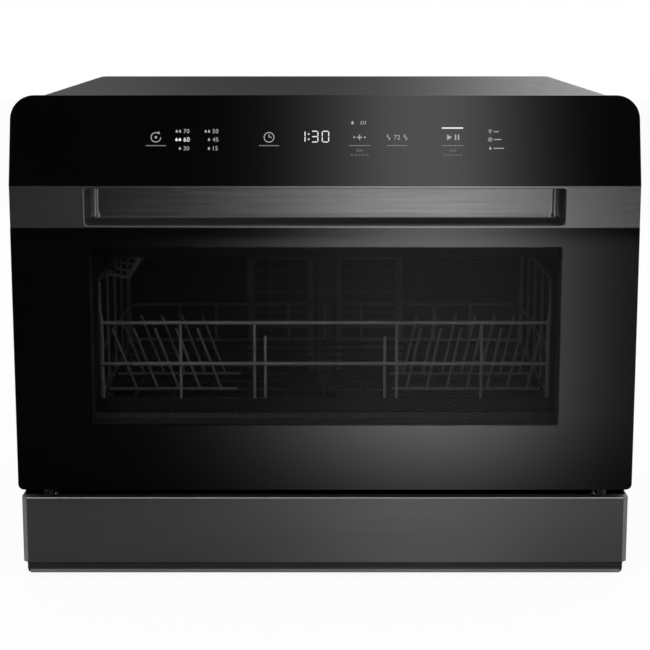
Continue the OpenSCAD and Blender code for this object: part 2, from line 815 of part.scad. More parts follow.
// Two blades on a hub; the nozzles open upwards when face is 1, or downwards when it is 0
module spray_arm(reach, z0, thick, bore_r, hub_r, face) {
    tip_r = 13;
    root_r = 21;
    difference() {
        union() {
            translate([0, tub_mid_y, z0]) for (s = [0, 180])
                rotate([0, 0, s]) hull() {
                    translate([8, 0, thick / 2]) scale([1, 1, thick / (2 * root_r)])
                        sphere(r = root_r, $fn = 24);
                    translate([reach - tip_r, -6, thick / 2]) scale([1, 1, (thick - 2) / (2 * tip_r)])
                        sphere(r = tip_r, $fn = 24);
                }
            rod_z(z0 - 1.5, z0 + thick + 1.5, 0, tub_mid_y, hub_r);
        }
        rod_z(z0 - 3, z0 + thick + 3, 0, tub_mid_y, bore_r);
        for (s = [0, 180], k = [0:4])
            translate([0, tub_mid_y, z0]) rotate([0, 0, s])
                translate([reach - 18 - k * 28, -5 + k * 1.2, thick * (face - 0.5)])
                    cylinder(h = thick, r = 1.4, $fn = 16);
    }
}

module lower_spray_arm() {
    color("#6f7377") spray_arm(lower_reach, 107, 10, 9.1, 15, 1);
}

module upper_spray_arm() {
    color("#6f7377") spray_arm(upper_reach, tub_top_z - 27.1, 7.5, 7.1, 12, 0);
}

module water_float() {
    color("#e9e9e6") translate([186, -172, tub_floor_z + 0.6]) rotate_extrude()
        polygon([
            [3.3, 14], [3.3, 19], [6, 19], [10, 17.5], [13, 14.5], [14, 11], [14, 0], [12, 0],
            [12, 10.5], [10.5, 14]
        ]);
}

module power_board() {
    x0 = -262;
    color("#3b3e41") difference() {
        union() {
            box(x0, 20, foot_h + 7.5, x0 + 58, 170, 62);
            for (y = [30, 160])
                box(x0 + 58 - eps, y - 6, 16, x0 + 66, y + 6, 19);
        }
        box(x0 + 2, 22, 24, x0 + 56, 168, 60.5);
        for (y = [34:12:154])
            box(x0 + 8, y, 60, x0 + 50, y + 5, 63);
        for (y = [30, 160])
            rod_z(15, 20, x0 + 62, y, 2);
    }
}

module cable_gland() {
    color("#161718") difference() {
        union() {
            rod_y(rear_inner - 9, wrap_rear - 0.4, gland_x, service_z, 8.9);
            rod_y(rear_inner + rear_sheet_t, wrap_rear + 3, gland_x, service_z, 12);
            rod_y(rear_inner - 9, rear_inner, gland_x, service_z, 12);
        }
        rod_y(rear_inner - 12, wrap_rear + 6, gland_x, service_z, lead_r);
    }
}

module feet() {
    color("#151515") for (x = [-235, 235], y = [-198, 200])
        translate([x, y, 0]) rotate_extrude()
            polygon([[0, 0], [12.5, 0], [14, 1.5], [13, foot_h], [4, foot_h], [4, 18], [0, 18]]);
}

module cabinet_screws() {
    head_y = rear_inner + rear_sheet_t;
    color("#a5a7aa") for (p = [
        [-262, 60], [-262, 200], [-262, 340], [262, 60], [262, 200], [262, 340],
        [-120, 425], [0, 425], [120, 425], [-80, 22], [80, 22]
    ])
        translate([p.x, head_y, p.y]) rotate([-90, 0, 0]) rotate_extrude($fn = 32)
            polygon([[0, 0], [4.2, 0], [4.2, 1], [3, 2.2], [1.6, 2.5], [1.6, 1.5], [0, 1.5]]);
}

// Door

// Front outline of the door below the band, with soft lower corners
function door_outline(inset, top) = concat(
    arc(inset - half_w + 5, door_bottom + inset + 5, 5, 180, 270, 5),
    arc(half_w - inset - 5, door_bottom + inset + 5, 5, 270, 360, 5),
    [[half_w - inset, top], [inset - half_w, top]]);

module door_glass() {
    color("#0b0c0d") along_y(front_y, glass_back) polygon(door_outline(0, glass_top));
}

module door_frame() {
    back_y = door_back - 1.2;
    wall = 3;
    skin = 2.5;
    inner_half = half_w - 1.5 - wall;
    win_half = window_w / 2;
    tunnel_back = back_y - 5.2;
    band_front = front_y + 8.1;
    pocket_half = pocket_w / 2 + 2.5;
    color("#131415") difference() {
        union() {
            difference() {
                along_y(glass_back, back_y) polygon(door_outline(1.5, glass_top));
                box(-inner_half, glass_back + skin, door_bottom + 1.5 + wall,
                    inner_half, back_y + 1, glass_top - wall);
            }
            // Tunnel round the window
            difference() {
                box(-win_half - 2.5, glass_back + 1, window_bottom - 2.5,
                    win_half + 2.5, tunnel_back, window_top + 2.5);
                box(-win_half, glass_back, window_bottom, win_half, tunnel_back + 1, window_top);
            }
            // Cheeks beside the handle pocket
            for (s = [-1, 1])
                handed(s) difference() {
                    box(pocket_half, band_front, glass_top - eps, half_w - 1.5, back_y, band_top);
                    box(pocket_half + wall, band_front + skin, glass_top - 1,
                        inner_half, back_y + 1, band_top - wall);
                }
            // Bosses that carry the hinge arms
            for (s = [-1, 1], z = [150, 210])
                handed(s) box(arm_x - 4, glass_back + 1, z - 6, arm_x, pivot_y + 9, z + 6);
            // Ribs between the window and the side walls
            for (s = [-1, 1], z = [250, 285])
                handed(s) box(win_half + 2, glass_back + 1, z - 1, inner_half + 1, back_y - 8, z + 1);
        }
        box(-win_half, front_y, window_bottom, win_half, glass_back + skin + 1, window_top);
        for (s = [-1, 1])
            handed(s) box(hinge_x0, glass_back + skin, door_bottom, hinge_x1, back_y + 1, 118);
    }
}

module inner_liner() {
    sheet = 1.2;
    half = half_w - 7;
    top_z = fascia_top - 6;
    win_half = window_w / 2 - 3;
    notch_z = 119;
    y0 = door_back - sheet;
    outline = concat(
        [[2 - hinge_x0, pivot_z + 1], [hinge_x0 - 2, pivot_z + 1]],
        [[hinge_x0 - 2, notch_z], [half, notch_z]],
        arc(half - 18, top_z - 18, 18, 0, 90, 8),
        arc(18 - half, top_z - 18, 18, 90, 180, 8),
        [[-half, notch_z], [2 - hinge_x0, notch_z]]);
    color("#a6a9ac") difference() {
        union() {
            along_y(y0, door_back) polygon(outline);
            // Pressed border round the window and along the top
            along_y(door_back - eps, door_back + 1.4) difference() {
                polygon(soft_rect(-win_half - 9, 142, win_half + 9, 308, 10));
                polygon(soft_rect(-win_half - 3, 148, win_half + 3, 301, 6));
            }
            along_y(door_back - eps, door_back + 1.4) difference() {
                polygon(soft_rect(-win_half - 9, 322, win_half + 9, 398, 12));
                polygon(soft_rect(-win_half - 4, 327, win_half + 4, 393, 9));
            }
        }
        along_y(y0 - 1, door_back + 3) polygon(soft_rect(-win_half, inner_glass_z + 8.6, win_half, 296, 5));
        along_y(y0 - 1, door_back + 3) polygon(soft_rect(32, 105, 194, 139, 3));
        box(-5.2, y0 - 1, tub_top_z + 3.8, 5.2, door_back + 1, tub_top_z + 15.2);
    }
}

module window_gasket() {
    y0 = door_back - 1.2 - 2;
    color("#232527") difference() {
        union() {
            along_y(y0, y0 + 2) difference() {
                polygon(soft_rect(-214, 142, 214, 312, 4));
                polygon(soft_rect(-204, 164, 204, 293.5, 4));
            }
            // Notched lip that shows through the front glass
            for (x = [-198:14.8:198])
                box(x, y0 - 0.9, 145.2, x + 12.6, y0 + eps, 151.2);
        }
        box(-220, y0 - 2, 140, 220, y0, 142.4);
    }
}

module inner_glass() {
    y1 = door_back - 1.2 - 2;
    color([0.75, 0.8, 0.8, 0.35]) along_y(y1 - 3.2, y1)
        polygon(soft_rect(-213, inner_glass_z, 213, 312, 3));
}

// Metal band across the door, folded back at its edges
module handle_band() {
    sheet = 1.5;
    fold = 8;
    half_pocket = pocket_w / 2 + 0.2;
    color("#57595c") difference() {
        box(-half_w, front_y, glass_top, half_w, front_y + fold, band_top);
        box(sheet - half_w, front_y + sheet, glass_top + sheet,
            half_w - sheet, front_y + fold + 1, band_top - sheet);
        along_y(front_y - 1, front_y + fold + 1)
            polygon(soft_rect(-half_pocket, glass_top + 1.8, half_pocket, band_top - 1.8, 0.6));
    }
}

// Scooped grip with a rising floor and a finger space behind the control panel
module handle_pocket() {
    half = pocket_w / 2;
    wall = 1.5;
    z0 = glass_top + 2;
    z1 = band_top - 2;
    back_y = front_y + pocket_d;
    lip_y = front_y + 9;
    grip_z = band_top + 13;
    floor_r = 9;
    outside = [
        [front_y + 0.2, z0], [back_y, z0], [back_y, grip_z + wall], [lip_y, grip_z + wall],
        [lip_y, z1], [front_y + 0.2, z1]
    ];
    inside = concat(
        [[front_y - 1, z0 + wall]],
        [[front_y + 6, z0 + wall + 0.4]],
        arc(back_y - wall - floor_r, z0 + wall + 3.2 + floor_r, floor_r, 282, 360, 6),
        [[back_y - wall, grip_z], [lip_y + wall, grip_z]],
        [[lip_y + wall, z1 - wall], [front_y - 1, z1 - wall]]);
    color("#6a6c6f") difference() {
        union() {
            along_x(-half, half) polygon(outside);
            // Tabs that hold it between the cheeks of the door frame
            for (s = [-1, 1])
                handed(s) box(half - 1, back_y - 14, z0 + 9, half + 2.5, back_y - 6, z0 + 24);
        }
        intersection() {
            along_x(wall - half, half - wall) polygon(inside);
            along_z(z0, grip_z + 5) polygon([
                [wall - half, front_y - 1], [half - wall, front_y - 1],
                [half - wall - pocket_draft, back_y], [wall - half + pocket_draft, back_y]
            ]);
        }
    }
}

// Front outline shared by the leaning glass and the housing behind it
module control_outline(inset) {
    along_y(front_y - 1, door_back + 1)
        polygon(arch(half_w - inset, band_top, fascia_top - inset, fascia_corner_r - inset, 12));
}

module fascia() {
    slant = glass_t / cos(fascia_lean);
    color("#08090a") intersection() {
        along_x(-half_w, half_w) polygon([
            [front_y, band_top], [front_y + lean_run, fascia_top],
            [front_y + lean_run + slant, fascia_top], [front_y + slant, band_top]
        ]);
        control_outline(0);
    }
}

module control_housing() {
    slant = glass_t / cos(fascia_lean);
    back_y = door_back - 1.2;
    wall = 2.4;
    pocket_half = pocket_w / 2 + 0.5;
    inner_half = half_w - 0.6 - wall;
    color("#101112") difference() {
        intersection() {
            along_x(-half_w, half_w) polygon([
                [front_y + slant, band_top], [front_y + lean_run + slant, fascia_top],
                [back_y, fascia_top], [back_y, band_top]
            ]);
            control_outline(0.6);
        }
        intersection() {
            box(-inner_half, front_y, band_top + 18, inner_half, back_y + 1, fascia_top);
            control_outline(0.6 + wall);
        }
        box(-pocket_half, front_y, band_top - 1, pocket_half, front_y + pocket_d + 0.3, band_top + 15);
        for (s = [-1, 1])
            handed(s) box(pocket_half + wall, front_y, band_top + wall,
                inner_half, back_y + 1, band_top + 15.5);
    }
}

// Board with touch springs, the display and its four digits
module control_board() {
    touch_x = [-145, -118, -100, -48, 30, 62, 110, 150];
    translate([0, front_y, band_top]) rotate([-fascia_lean, 0, 0]) {
        color("#1f5136") box(-168, 8.4, 24, 172, 10, 60);
        color("#191b1d") box(-26, glass_t + 0.4, 32, 8, 8.5, 52);
        color("#191b1d") for (x = [-70, 85])
            box(x, 9.9, 34, x + 22, 12, 48);
        color("#c9cbcd") for (x = touch_x)
            translate([x, 8.5, 42]) rotate([90, 0, 0]) cylinder(h = 8.5 - glass_t, r = 4.5);
    }
}

module detergent_cup() {
    flange = 1.4;
    y0 = door_back - 1.2;
    color("#3c3f42") difference() {
        union() {
            along_y(door_back, door_back + flange) polygon(soft_rect(30, 103, 196, 140.5, 4));
            along_y(y0 - 22, door_back + eps) polygon(soft_rect(34, 107, 192, 137, 3));
            for (z = [104.6, 137.2])
                box(40, door_back + flange - eps, z, 156, door_back + flange + 2.6, z + 1.8);
        }
        along_y(y0 - 19, door_back + 3) polygon(soft_rect(100, 109.5, 148, 134.5, 4));
        rod_y(y0 - 18, door_back + 3, 174, 122, 9);
        box(37, y0 - 23, 110, 96, y0 - 2, 134);
    }
}

module detergent_lid() {
    y0 = door_back + 1.4 + 0.25;
    color("#8b8f93") union() {
        along_y(y0, y0 + 2) polygon(soft_rect(96, 106.8, 153, 136.8, 3));
        along_y(y0 + 2 - eps, y0 + 3.4) polygon(soft_rect(136, 112, 147, 131, 3));
    }
}

module rinse_cap() {
    y0 = door_back + 1.4;
    color("#55585b") union() {
        rod_y(y0 - 8, y0 + 1, 174, 122, 8.85);
        rod_y(y0 + 0.05, y0 + 2.4, 174, 122, 11);
        box(165, y0 + 2.3, 120.8, 183, y0 + 4.4, 123.2);
    }
}

module door_seal() {
    y0 = door_back - 1.2;
    half = 216;
    color("#1a1b1c") along_x(-half, half) polygon([
        [y0 - 5, pivot_z - 2.5], [door_back - 0.2, pivot_z - 2.5], [door_back + 1.2, pivot_z - 0.9],
        [door_back + 1.4, pivot_z + 0.4], [door_back - 0.4, pivot_z - 0.6], [door_back - 0.4, pivot_z + 1],
        [y0, pivot_z + 1], [y0, pivot_z + 6], [y0 - 2, pivot_z + 6], [y0 - 5, pivot_z + 1]
    ]);
}

// Rack

// Closed loop of wire at one height with bent corners
module wire_loop(half, y0, y1, z, r, bend) {
    for (s = [-1, 1])
        rod_y(y0 + bend, y1 - bend, s * half, z, r, $fn = 24);
    for (y = [y0, y1])
        rod_x(bend - half, half - bend, y, z, r, $fn = 24);
    for (c = [[half - bend, y1 - bend, 0], [bend - half, y1 - bend, 90],
              [bend - half, y0 + bend, 180], [half - bend, y0 + bend, 270]])
        translate([c.x, c.y, z]) rotate([0, 0, c.z]) rotate_extrude(angle = 90, $fn = 96)
            translate([bend, 0]) circle(r = r, $fn = 24);
}

module rack_frame() {
    bend = 16;
    rim_half = half_rack - rim_r;
    inset = rim_r + wire_r - weld;
    front = rack_front + rim_r;
    back = rack_back - rim_r;
    side_front = front + 14;
    bend_y = back - 2 * bend - 3;
    front_posts = [-205, -133, -65, 66, 144, 205];
    color("#55585b") union() {
        wire_loop(rim_half, front, back, mid_z, rim_r, bend);
        // Rim, low at the front, raised along the sides and bent down at the back
        rod_x(-204, 204, front, rim_z, rim_r, $fn = 24);
        for (s = [-1, 1])
            handed(s) {
                rod_y(side_front, bend_y, rim_half, side_rim_z, rim_r, $fn = 24);
                translate([rim_half, bend_y, side_rim_z - bend]) rotate([90, 0, 90])
                    rotate_extrude(angle = 90, $fn = 96) translate([bend, 0]) circle(r = rim_r, $fn = 24);
                translate([rim_half, bend_y + bend, side_rim_z - bend]) sphere(r = rim_r + 0.25, $fn = 24);
                wire([rim_half, bend_y + bend, side_rim_z - bend],
                    [rim_half - 2, bend_y + bend, rack_base_z], rim_r - 0.1);
                wire([rim_half, side_front, side_rim_z], [204, front, rim_z], rim_r - 0.1);
                translate([rim_half, side_front, side_rim_z]) sphere(r = rim_r + 0.25, $fn = 24);
                translate([204, front, rim_z]) sphere(r = rim_r + 0.25, $fn = 24);
                // Lower side bar with its nose rising to the front
                rod_y(-150, back - 6, rim_half - 2, rack_base_z, rim_r, $fn = 24);
                wire([rim_half - 2, -150, rack_base_z], [rim_half - 2, front, rack_nose_z], rim_r - 0.1);
                translate([rim_half - 2, -150, rack_base_z]) sphere(r = rim_r + 0.25, $fn = 24);
                // Side posts
                for (y = [-146:58:120])
                    rod_z(rack_base_z, side_rim_z, rim_half - inset, y, wire_r, $fn = 24);
            }
        rod_x(2 - rim_half, rim_half - 2, front, rack_nose_z, rim_r, $fn = 24);
        rod_x(2 - rim_half, rim_half - 2, back - 6, rack_base_z, rim_r, $fn = 24);
        for (x = front_posts)
            rod_z(rack_nose_z, rim_z, x, front + inset, wire_r, $fn = 24);
        for (x = [-160:40:160])
            wire([x, back - 5, rack_base_z], [x, back - inset + 0.3, mid_z], wire_r);
        // Pair of holder posts in the middle bay
        for (s = [-1, 1])
            rod_z(rack_nose_z, 216, s * 55, front + inset, wire_r, $fn = 24);
    }
}

module rack_floor() {
    front = rack_front + rim_r;
    back = rack_back - rim_r;
    cross_half = half_rack - rim_r - 2;
    color("#55585b") union() {
        for (y = [-150:39:123])
            rod_x(-cross_half, cross_half, y, floor_low_z, wire_r, $fn = 24);
        for (x = [-180:36:180]) {
            rod_y(-152, back - 6, x, floor_high_z, wire_r, $fn = 24);
            wire([x, -152, floor_high_z], [x, front, rack_nose_z - rim_r], wire_r - 0.05);
            translate([x, -152, floor_high_z]) sphere(r = wire_r + 0.15, $fn = 24);
        }
    }
}

// Row of leaning tines on its own foot wire
module tine_row(y, tips, lean) {
    for (x = tips) {
        wire([x + lean, y, tine_foot_z], [x, y, tine_top], wire_r - 0.1);
        translate([x, y, tine_top]) sphere(r = wire_r + 0.1, $fn = 24);
    }
}

module rack_tines() {
    left = [for (k = [0:4]) -202 + 20.2 * k];
    right = [for (k = [0:6]) 91 + 19.2 * k];
    color("#55585b") union() {
        for (y = [-130, -60]) {
            tine_row(y, left, 22);
            tine_row(y, right, -13);
            rod_x(-206, -84, y, tine_foot_z, wire_r, $fn = 24);
            rod_x(64, 206, y, tine_foot_z, wire_r, $fn = 24);
        }
    }
}

// Moulded clips that hold the wheels under the lower side bars
module wheel_carriers() {
    bar_x = half_rack - rim_r - 2;
    color("#8e9194") for (s = [-1, 1], y = [front_axle_y, rear_axle_y])
        handed(s) difference() {
            union() {
                along_x(bar_x - 4, bar_x + 4)
                    polygon(soft_rect(y - 13, axle_z - 7, y + 13, rack_base_z + 5, 5));
                rod_x(bar_x + 3, 231.2, y, axle_z, 3);
                rod_x(bar_x + 3, 221, y, axle_z, 5.5);
            }
            rod_y(y - 14, y + 14, bar_x, rack_base_z, rim_r + 0.02);
            box(bar_x - 5, y - 15, rack_base_z - 2 * wire_r - 1.5, bar_x + 0.2, y + 15, rack_base_z + 0.1);
        }
}

module wheel_pair(y) {
    for (s = [-1, 1])
        handed(s) translate([221.3, y, axle_z]) rotate([0, 90, 0]) rotate_extrude($fn = 64)
            polygon([
                [3.06, 0], [7, 0], [7, 1.5], [10, 1.5], [10, 0], [wheel_r - 0.6, 0], [wheel_r, 0.6],
                [wheel_r, 8.2], [wheel_r - 0.6, 8.8], [10, 8.8], [10, 7.3], [7, 7.3], [7, 8.8], [3.06, 8.8]
            ]);
}

// Clips on the side rim that carry the folding shelf
module shelf_clips() {
    rim_x = rim_r - half_rack;
    color("#8e9194") for (y = [-100, 20]) difference() {
        along_y(y - 5, y + 5) polygon([
            [rim_x - 1.5, side_rim_z - 3.4], [rim_x + 3, side_rim_z - 3.4],
            [shelf_axis_x + 3.2, shelf_axis_z - 3], [shelf_axis_x + 3.2, shelf_axis_z + 2],
            [shelf_axis_x + 2, shelf_axis_z + 3.4], [shelf_axis_x - 2, shelf_axis_z + 3.4],
            [rim_x - 3, side_rim_z + 2], [rim_x - 3, side_rim_z - 2]
        ]);
        rod_y(y - 6, y + 6, shelf_axis_x, shelf_axis_z, rim_r + 0.1);
        rod_y(y - 6, y + 6, rim_x, side_rim_z, rim_r);
    }
}

module front_wheels() {
    color("#b9bcbf") wheel_pair(front_axle_y);
}

module rear_wheels() {
    color("#b9bcbf") wheel_pair(rear_axle_y);
}

// Cup shelf that folds down over the left tines
module cup_shelf() {
    lean = 64;
    reach = 70;
    y0 = -120;
    y1 = 40;
    knee = [shelf_axis_x + 19.5, shelf_axis_z - 3.5];
    function out(t) = [knee.x + t * cos(lean), knee.y + t * sin(lean)];
    module leg(y, r) {
        wire([shelf_axis_x, y, shelf_axis_z], [knee.x, y, knee.y], r);
        translate([knee.x, y, knee.y]) sphere(r = r + 0.15, $fn = 24);
        wire([knee.x, y, knee.y], [out(reach).x, y, out(reach).y], r);
    }
    color("#55585b") union() {
        rod_y(y0 - 8, y1 + 8, shelf_axis_x, shelf_axis_z, rim_r, $fn = 24);
        for (y = [y0, y1])
            leg(y, rim_r - 0.1);
        for (t = [8:31:reach]) {
            p = out(t);
            rod_y(y0, y1, p.x, p.y, wire_r, $fn = 24);
        }
        for (y = [y0 + 40:40:y1 - 40])
            leg(y, wire_r - 0.1);
        translate([out(reach).x, 0, out(reach).y]) for (y = [y0, y1])
            translate([0, y, 0]) sphere(r = rim_r + 0.2, $fn = 24);
    }
}

cabinet_wrap();
rear_panel();
base_tray();
kick_panel();
plinth_strip();
front_frame();
tub_shell();
tub_back();
tub_floor();
tub_gasket();
rack_rail_left();
rack_rail_right();
hinge_bracket_left();
hinge_bracket_right();
door_spring_left();
door_spring_right();
latch_catch();
sump();
filter_plate();
filter_cup();
wash_pump();
drain_pump();
drain_hose();
drain_spout();
heater();
inlet_valve();
air_break_chamber();
feed_pipe();
power_board();
cable_gland();
feet();
cabinet_screws();
door_glass();
door_frame();
inner_liner();
inner_glass();
window_gasket();
handle_band();
handle_pocket();
fascia();
control_housing();
control_board();
detergent_cup();
rinse_cap();
door_seal();
hinge_arm_left();
hinge_arm_right();
latch_hook();
detergent_lid();
lower_spray_arm();
upper_spray_arm();
water_float();
rack_frame();
rack_floor();
rack_tines();
wheel_carriers();
front_wheels();
rear_wheels();
cup_shelf();
shelf_clips();
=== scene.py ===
"""Looks of the countertop dishwasher: finishes, panel marks, trims, studio and camera."""

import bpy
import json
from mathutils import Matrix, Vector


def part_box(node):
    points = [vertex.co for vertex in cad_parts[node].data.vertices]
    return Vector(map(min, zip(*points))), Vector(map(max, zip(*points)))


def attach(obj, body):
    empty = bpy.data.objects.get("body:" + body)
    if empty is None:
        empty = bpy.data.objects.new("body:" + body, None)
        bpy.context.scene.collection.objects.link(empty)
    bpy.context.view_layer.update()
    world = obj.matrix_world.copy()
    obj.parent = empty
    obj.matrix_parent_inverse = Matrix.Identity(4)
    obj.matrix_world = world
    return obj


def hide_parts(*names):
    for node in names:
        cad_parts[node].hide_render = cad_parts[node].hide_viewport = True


bl_info = {
    "name": "Countertop Dishwasher Looks",
    "version": (1, 0, 0),
    "blender": (4, 5, 0),
    "location": "3D View > Sidebar > Dishwasher",
    "description": "Dresses the packed dishwasher with finishes, trims and a studio",
    "category": "Object",
}

import json
import math

import bmesh
import bpy
from bpy.props import FloatProperty, FloatVectorProperty, PointerProperty
from mathutils import Matrix, Vector

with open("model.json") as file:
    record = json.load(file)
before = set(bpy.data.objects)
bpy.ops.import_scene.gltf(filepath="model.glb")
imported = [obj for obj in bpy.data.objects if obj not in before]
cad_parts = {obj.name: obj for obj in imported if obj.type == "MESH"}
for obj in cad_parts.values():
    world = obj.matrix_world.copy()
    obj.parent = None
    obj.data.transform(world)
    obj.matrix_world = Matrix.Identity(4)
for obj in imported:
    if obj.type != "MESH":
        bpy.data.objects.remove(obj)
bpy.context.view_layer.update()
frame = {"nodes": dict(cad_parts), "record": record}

MM = 0.001

# Corners of the CAD nodes that the new pieces follow, in metres
GLASS_LOW, GLASS_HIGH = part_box("door_glass")
BAND_LOW, BAND_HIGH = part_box("handle_band")
KICK_LOW, KICK_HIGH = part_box("kick_panel")
PLINTH_LOW, PLINTH_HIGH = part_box("plinth_strip")
PANEL_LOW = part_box("fascia")[0]
BACK_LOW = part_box("tub_back")[0]
SURROUND_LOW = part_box("window_gasket")[0]
LINER_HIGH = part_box("inner_liner")[1]
INLET_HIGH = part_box("inlet_valve")[1]
HALF_WIDTH = GLASS_HIGH.x

# X and Z of the window in the door glass, and of the water inlet
WINDOW_MIDDLE = (0.0, 0.2273)
WINDOW_HALF = (0.2085, 0.0808)
INLET_MIDDLE = (0.19, 0.05)


# Settings

class DishwasherFinishes(bpy.types.PropertyGroup):
    """Colours of the surfaces that a user would change."""

    cabinet: FloatVectorProperty(
        name="Cabinet", description="Powder coat of the outer wrap",
        subtype="COLOR", size=3, default=(0.015, 0.015, 0.016), min=0, max=1)
    band: FloatVectorProperty(
        name="Band", description="Dark brushed stainless of the handle band",
        subtype="COLOR", size=3, default=(0.185, 0.186, 0.188), min=0, max=1)
    kick: FloatVectorProperty(
        name="Kick panel", description="Satin dark stainless of the kick panel",
        subtype="COLOR", size=3, default=(0.145, 0.146, 0.148), min=0, max=1)
    # Darker than bare stainless: painted shade that keeps the tub's inside and its reflections dim
    steel: FloatVectorProperty(
        name="Tub steel", description="Stainless of the tub",
        subtype="COLOR", size=3, default=(0.26, 0.263, 0.266), min=0, max=1)
    rack: FloatVectorProperty(
        name="Rack", description="Nylon coating of the rack wires",
        subtype="COLOR", size=3, default=(0.76, 0.765, 0.77), min=0, max=1)
    glass_opacity: FloatProperty(
        name="Glass tint", description="How much of the light the door glass holds back",
        subtype="FACTOR", default=0.1, min=0.05, max=1)
    inner_opacity: FloatProperty(
        name="Inner glass tint", description="How much of the light the inner glass holds back",
        subtype="FACTOR", default=0.4, min=0.1, max=1)
    mark_glow: FloatProperty(
        name="Mark glow", description="Brightness of the lit marks on the panel",
        default=0.85, min=0, max=2)


class DishwasherPanelSizes(bpy.types.PropertyGroup):
    """Places of the marks on the leaning control panel."""

    lean: FloatProperty(
        name="Lean", description="Lean of the control panel from upright",
        subtype="ANGLE", unit="ROTATION", default=math.radians(16.5), min=0, max=0.6)
    row: FloatProperty(
        name="Row height", description="Height of the touch keys over the panel's lower edge",
        subtype="DISTANCE", unit="LENGTH", default=43 * MM, min=0.02, max=0.06)
    line_drop: FloatProperty(
        name="Underline drop", description="Distance from a key down to its underline",
        subtype="DISTANCE", unit="LENGTH", default=7.4 * MM, min=0.004, max=0.012)
    ink: FloatProperty(
        name="Ink thickness", description="How far the printed marks stand off the glass",
        subtype="DISTANCE", unit="LENGTH", default=0.12 * MM, min=0.00005, max=0.0005)


class DishwasherStudio(bpy.types.PropertyGroup):
    """Camera, lamps and floor."""

    camera_distance: FloatProperty(
        name="Camera distance", description="From the door to the camera, level",
        subtype="DISTANCE", unit="LENGTH", default=1.523, min=0.5, max=5)
    camera_height: FloatProperty(
        name="Camera height", description="Over the worktop",
        subtype="DISTANCE", unit="LENGTH", default=0.516, min=0.1, max=2)
    camera_tilt: FloatProperty(
        name="Camera tilt", description="How far the camera looks down",
        subtype="ANGLE", unit="ROTATION", default=math.radians(10.34), min=0, max=1)
    lens: FloatProperty(
        name="Lens", description="Focal length in millimetres on a 36 mm sensor",
        default=97.25, min=20, max=300)
    floor: FloatVectorProperty(
        name="Floor", description="Pale floor",
        subtype="COLOR", size=3, default=(0.92, 0.92, 0.92), min=0, max=1)
    lamp_power: FloatProperty(
        name="Lamp power", description="Power of each soft lamp in watts",
        default=34.0, min=0, max=500)
    ambient: FloatProperty(
        name="Ambient", description="Strength of the light from all round",
        default=0.45, min=0, max=2)


# Materials

class Shading:
    """Nodes of one material or world, built up call by call."""

    def __init__(self, owner):
        owner.use_nodes = True
        self.nodes = owner.node_tree.nodes
        self.links = owner.node_tree.links

    def maths(self, operation, *values, clamp=False):
        node = self.nodes.new("ShaderNodeMath")
        node.operation = operation
        node.use_clamp = clamp
        for socket, value in zip(node.inputs, values):
            if isinstance(value, (int, float)):
                socket.default_value = value
            else:
                self.links.new(value, socket)
        return node.outputs[0]

    def ranged(self, value, low, high, start=0.3, end=0.7, interpolation="LINEAR"):
        """Value brought from the span start to end into the span low to high."""
        node = self.nodes.new("ShaderNodeMapRange")
        node.interpolation_type = interpolation
        node.inputs["From Min"].default_value = start
        node.inputs["From Max"].default_value = end
        node.inputs["To Min"].default_value = low
        node.inputs["To Max"].default_value = high
        self.links.new(value, node.inputs["Value"])
        return node.outputs["Result"]

    def background_rays(self):
        """1 for rays that should see the white background: camera, glossy and transmission."""
        path = self.nodes.new("ShaderNodeLightPath").outputs
        total = path["Is Camera Ray"]
        for name in ("Is Glossy Ray", "Is Transmission Ray"):
            total = self.maths("ADD", total, path[name], clamp=True)
        return total

    def blended(self, share, first, second, output):
        """Sends a mix of two shaders to the output node."""
        mix = self.nodes.new("ShaderNodeMixShader")
        self.links.new(share, mix.inputs["Fac"])
        self.links.new(first, mix.inputs[1])
        self.links.new(second, mix.inputs[2])
        self.links.new(mix.outputs["Shader"], self.nodes[output].inputs["Surface"])


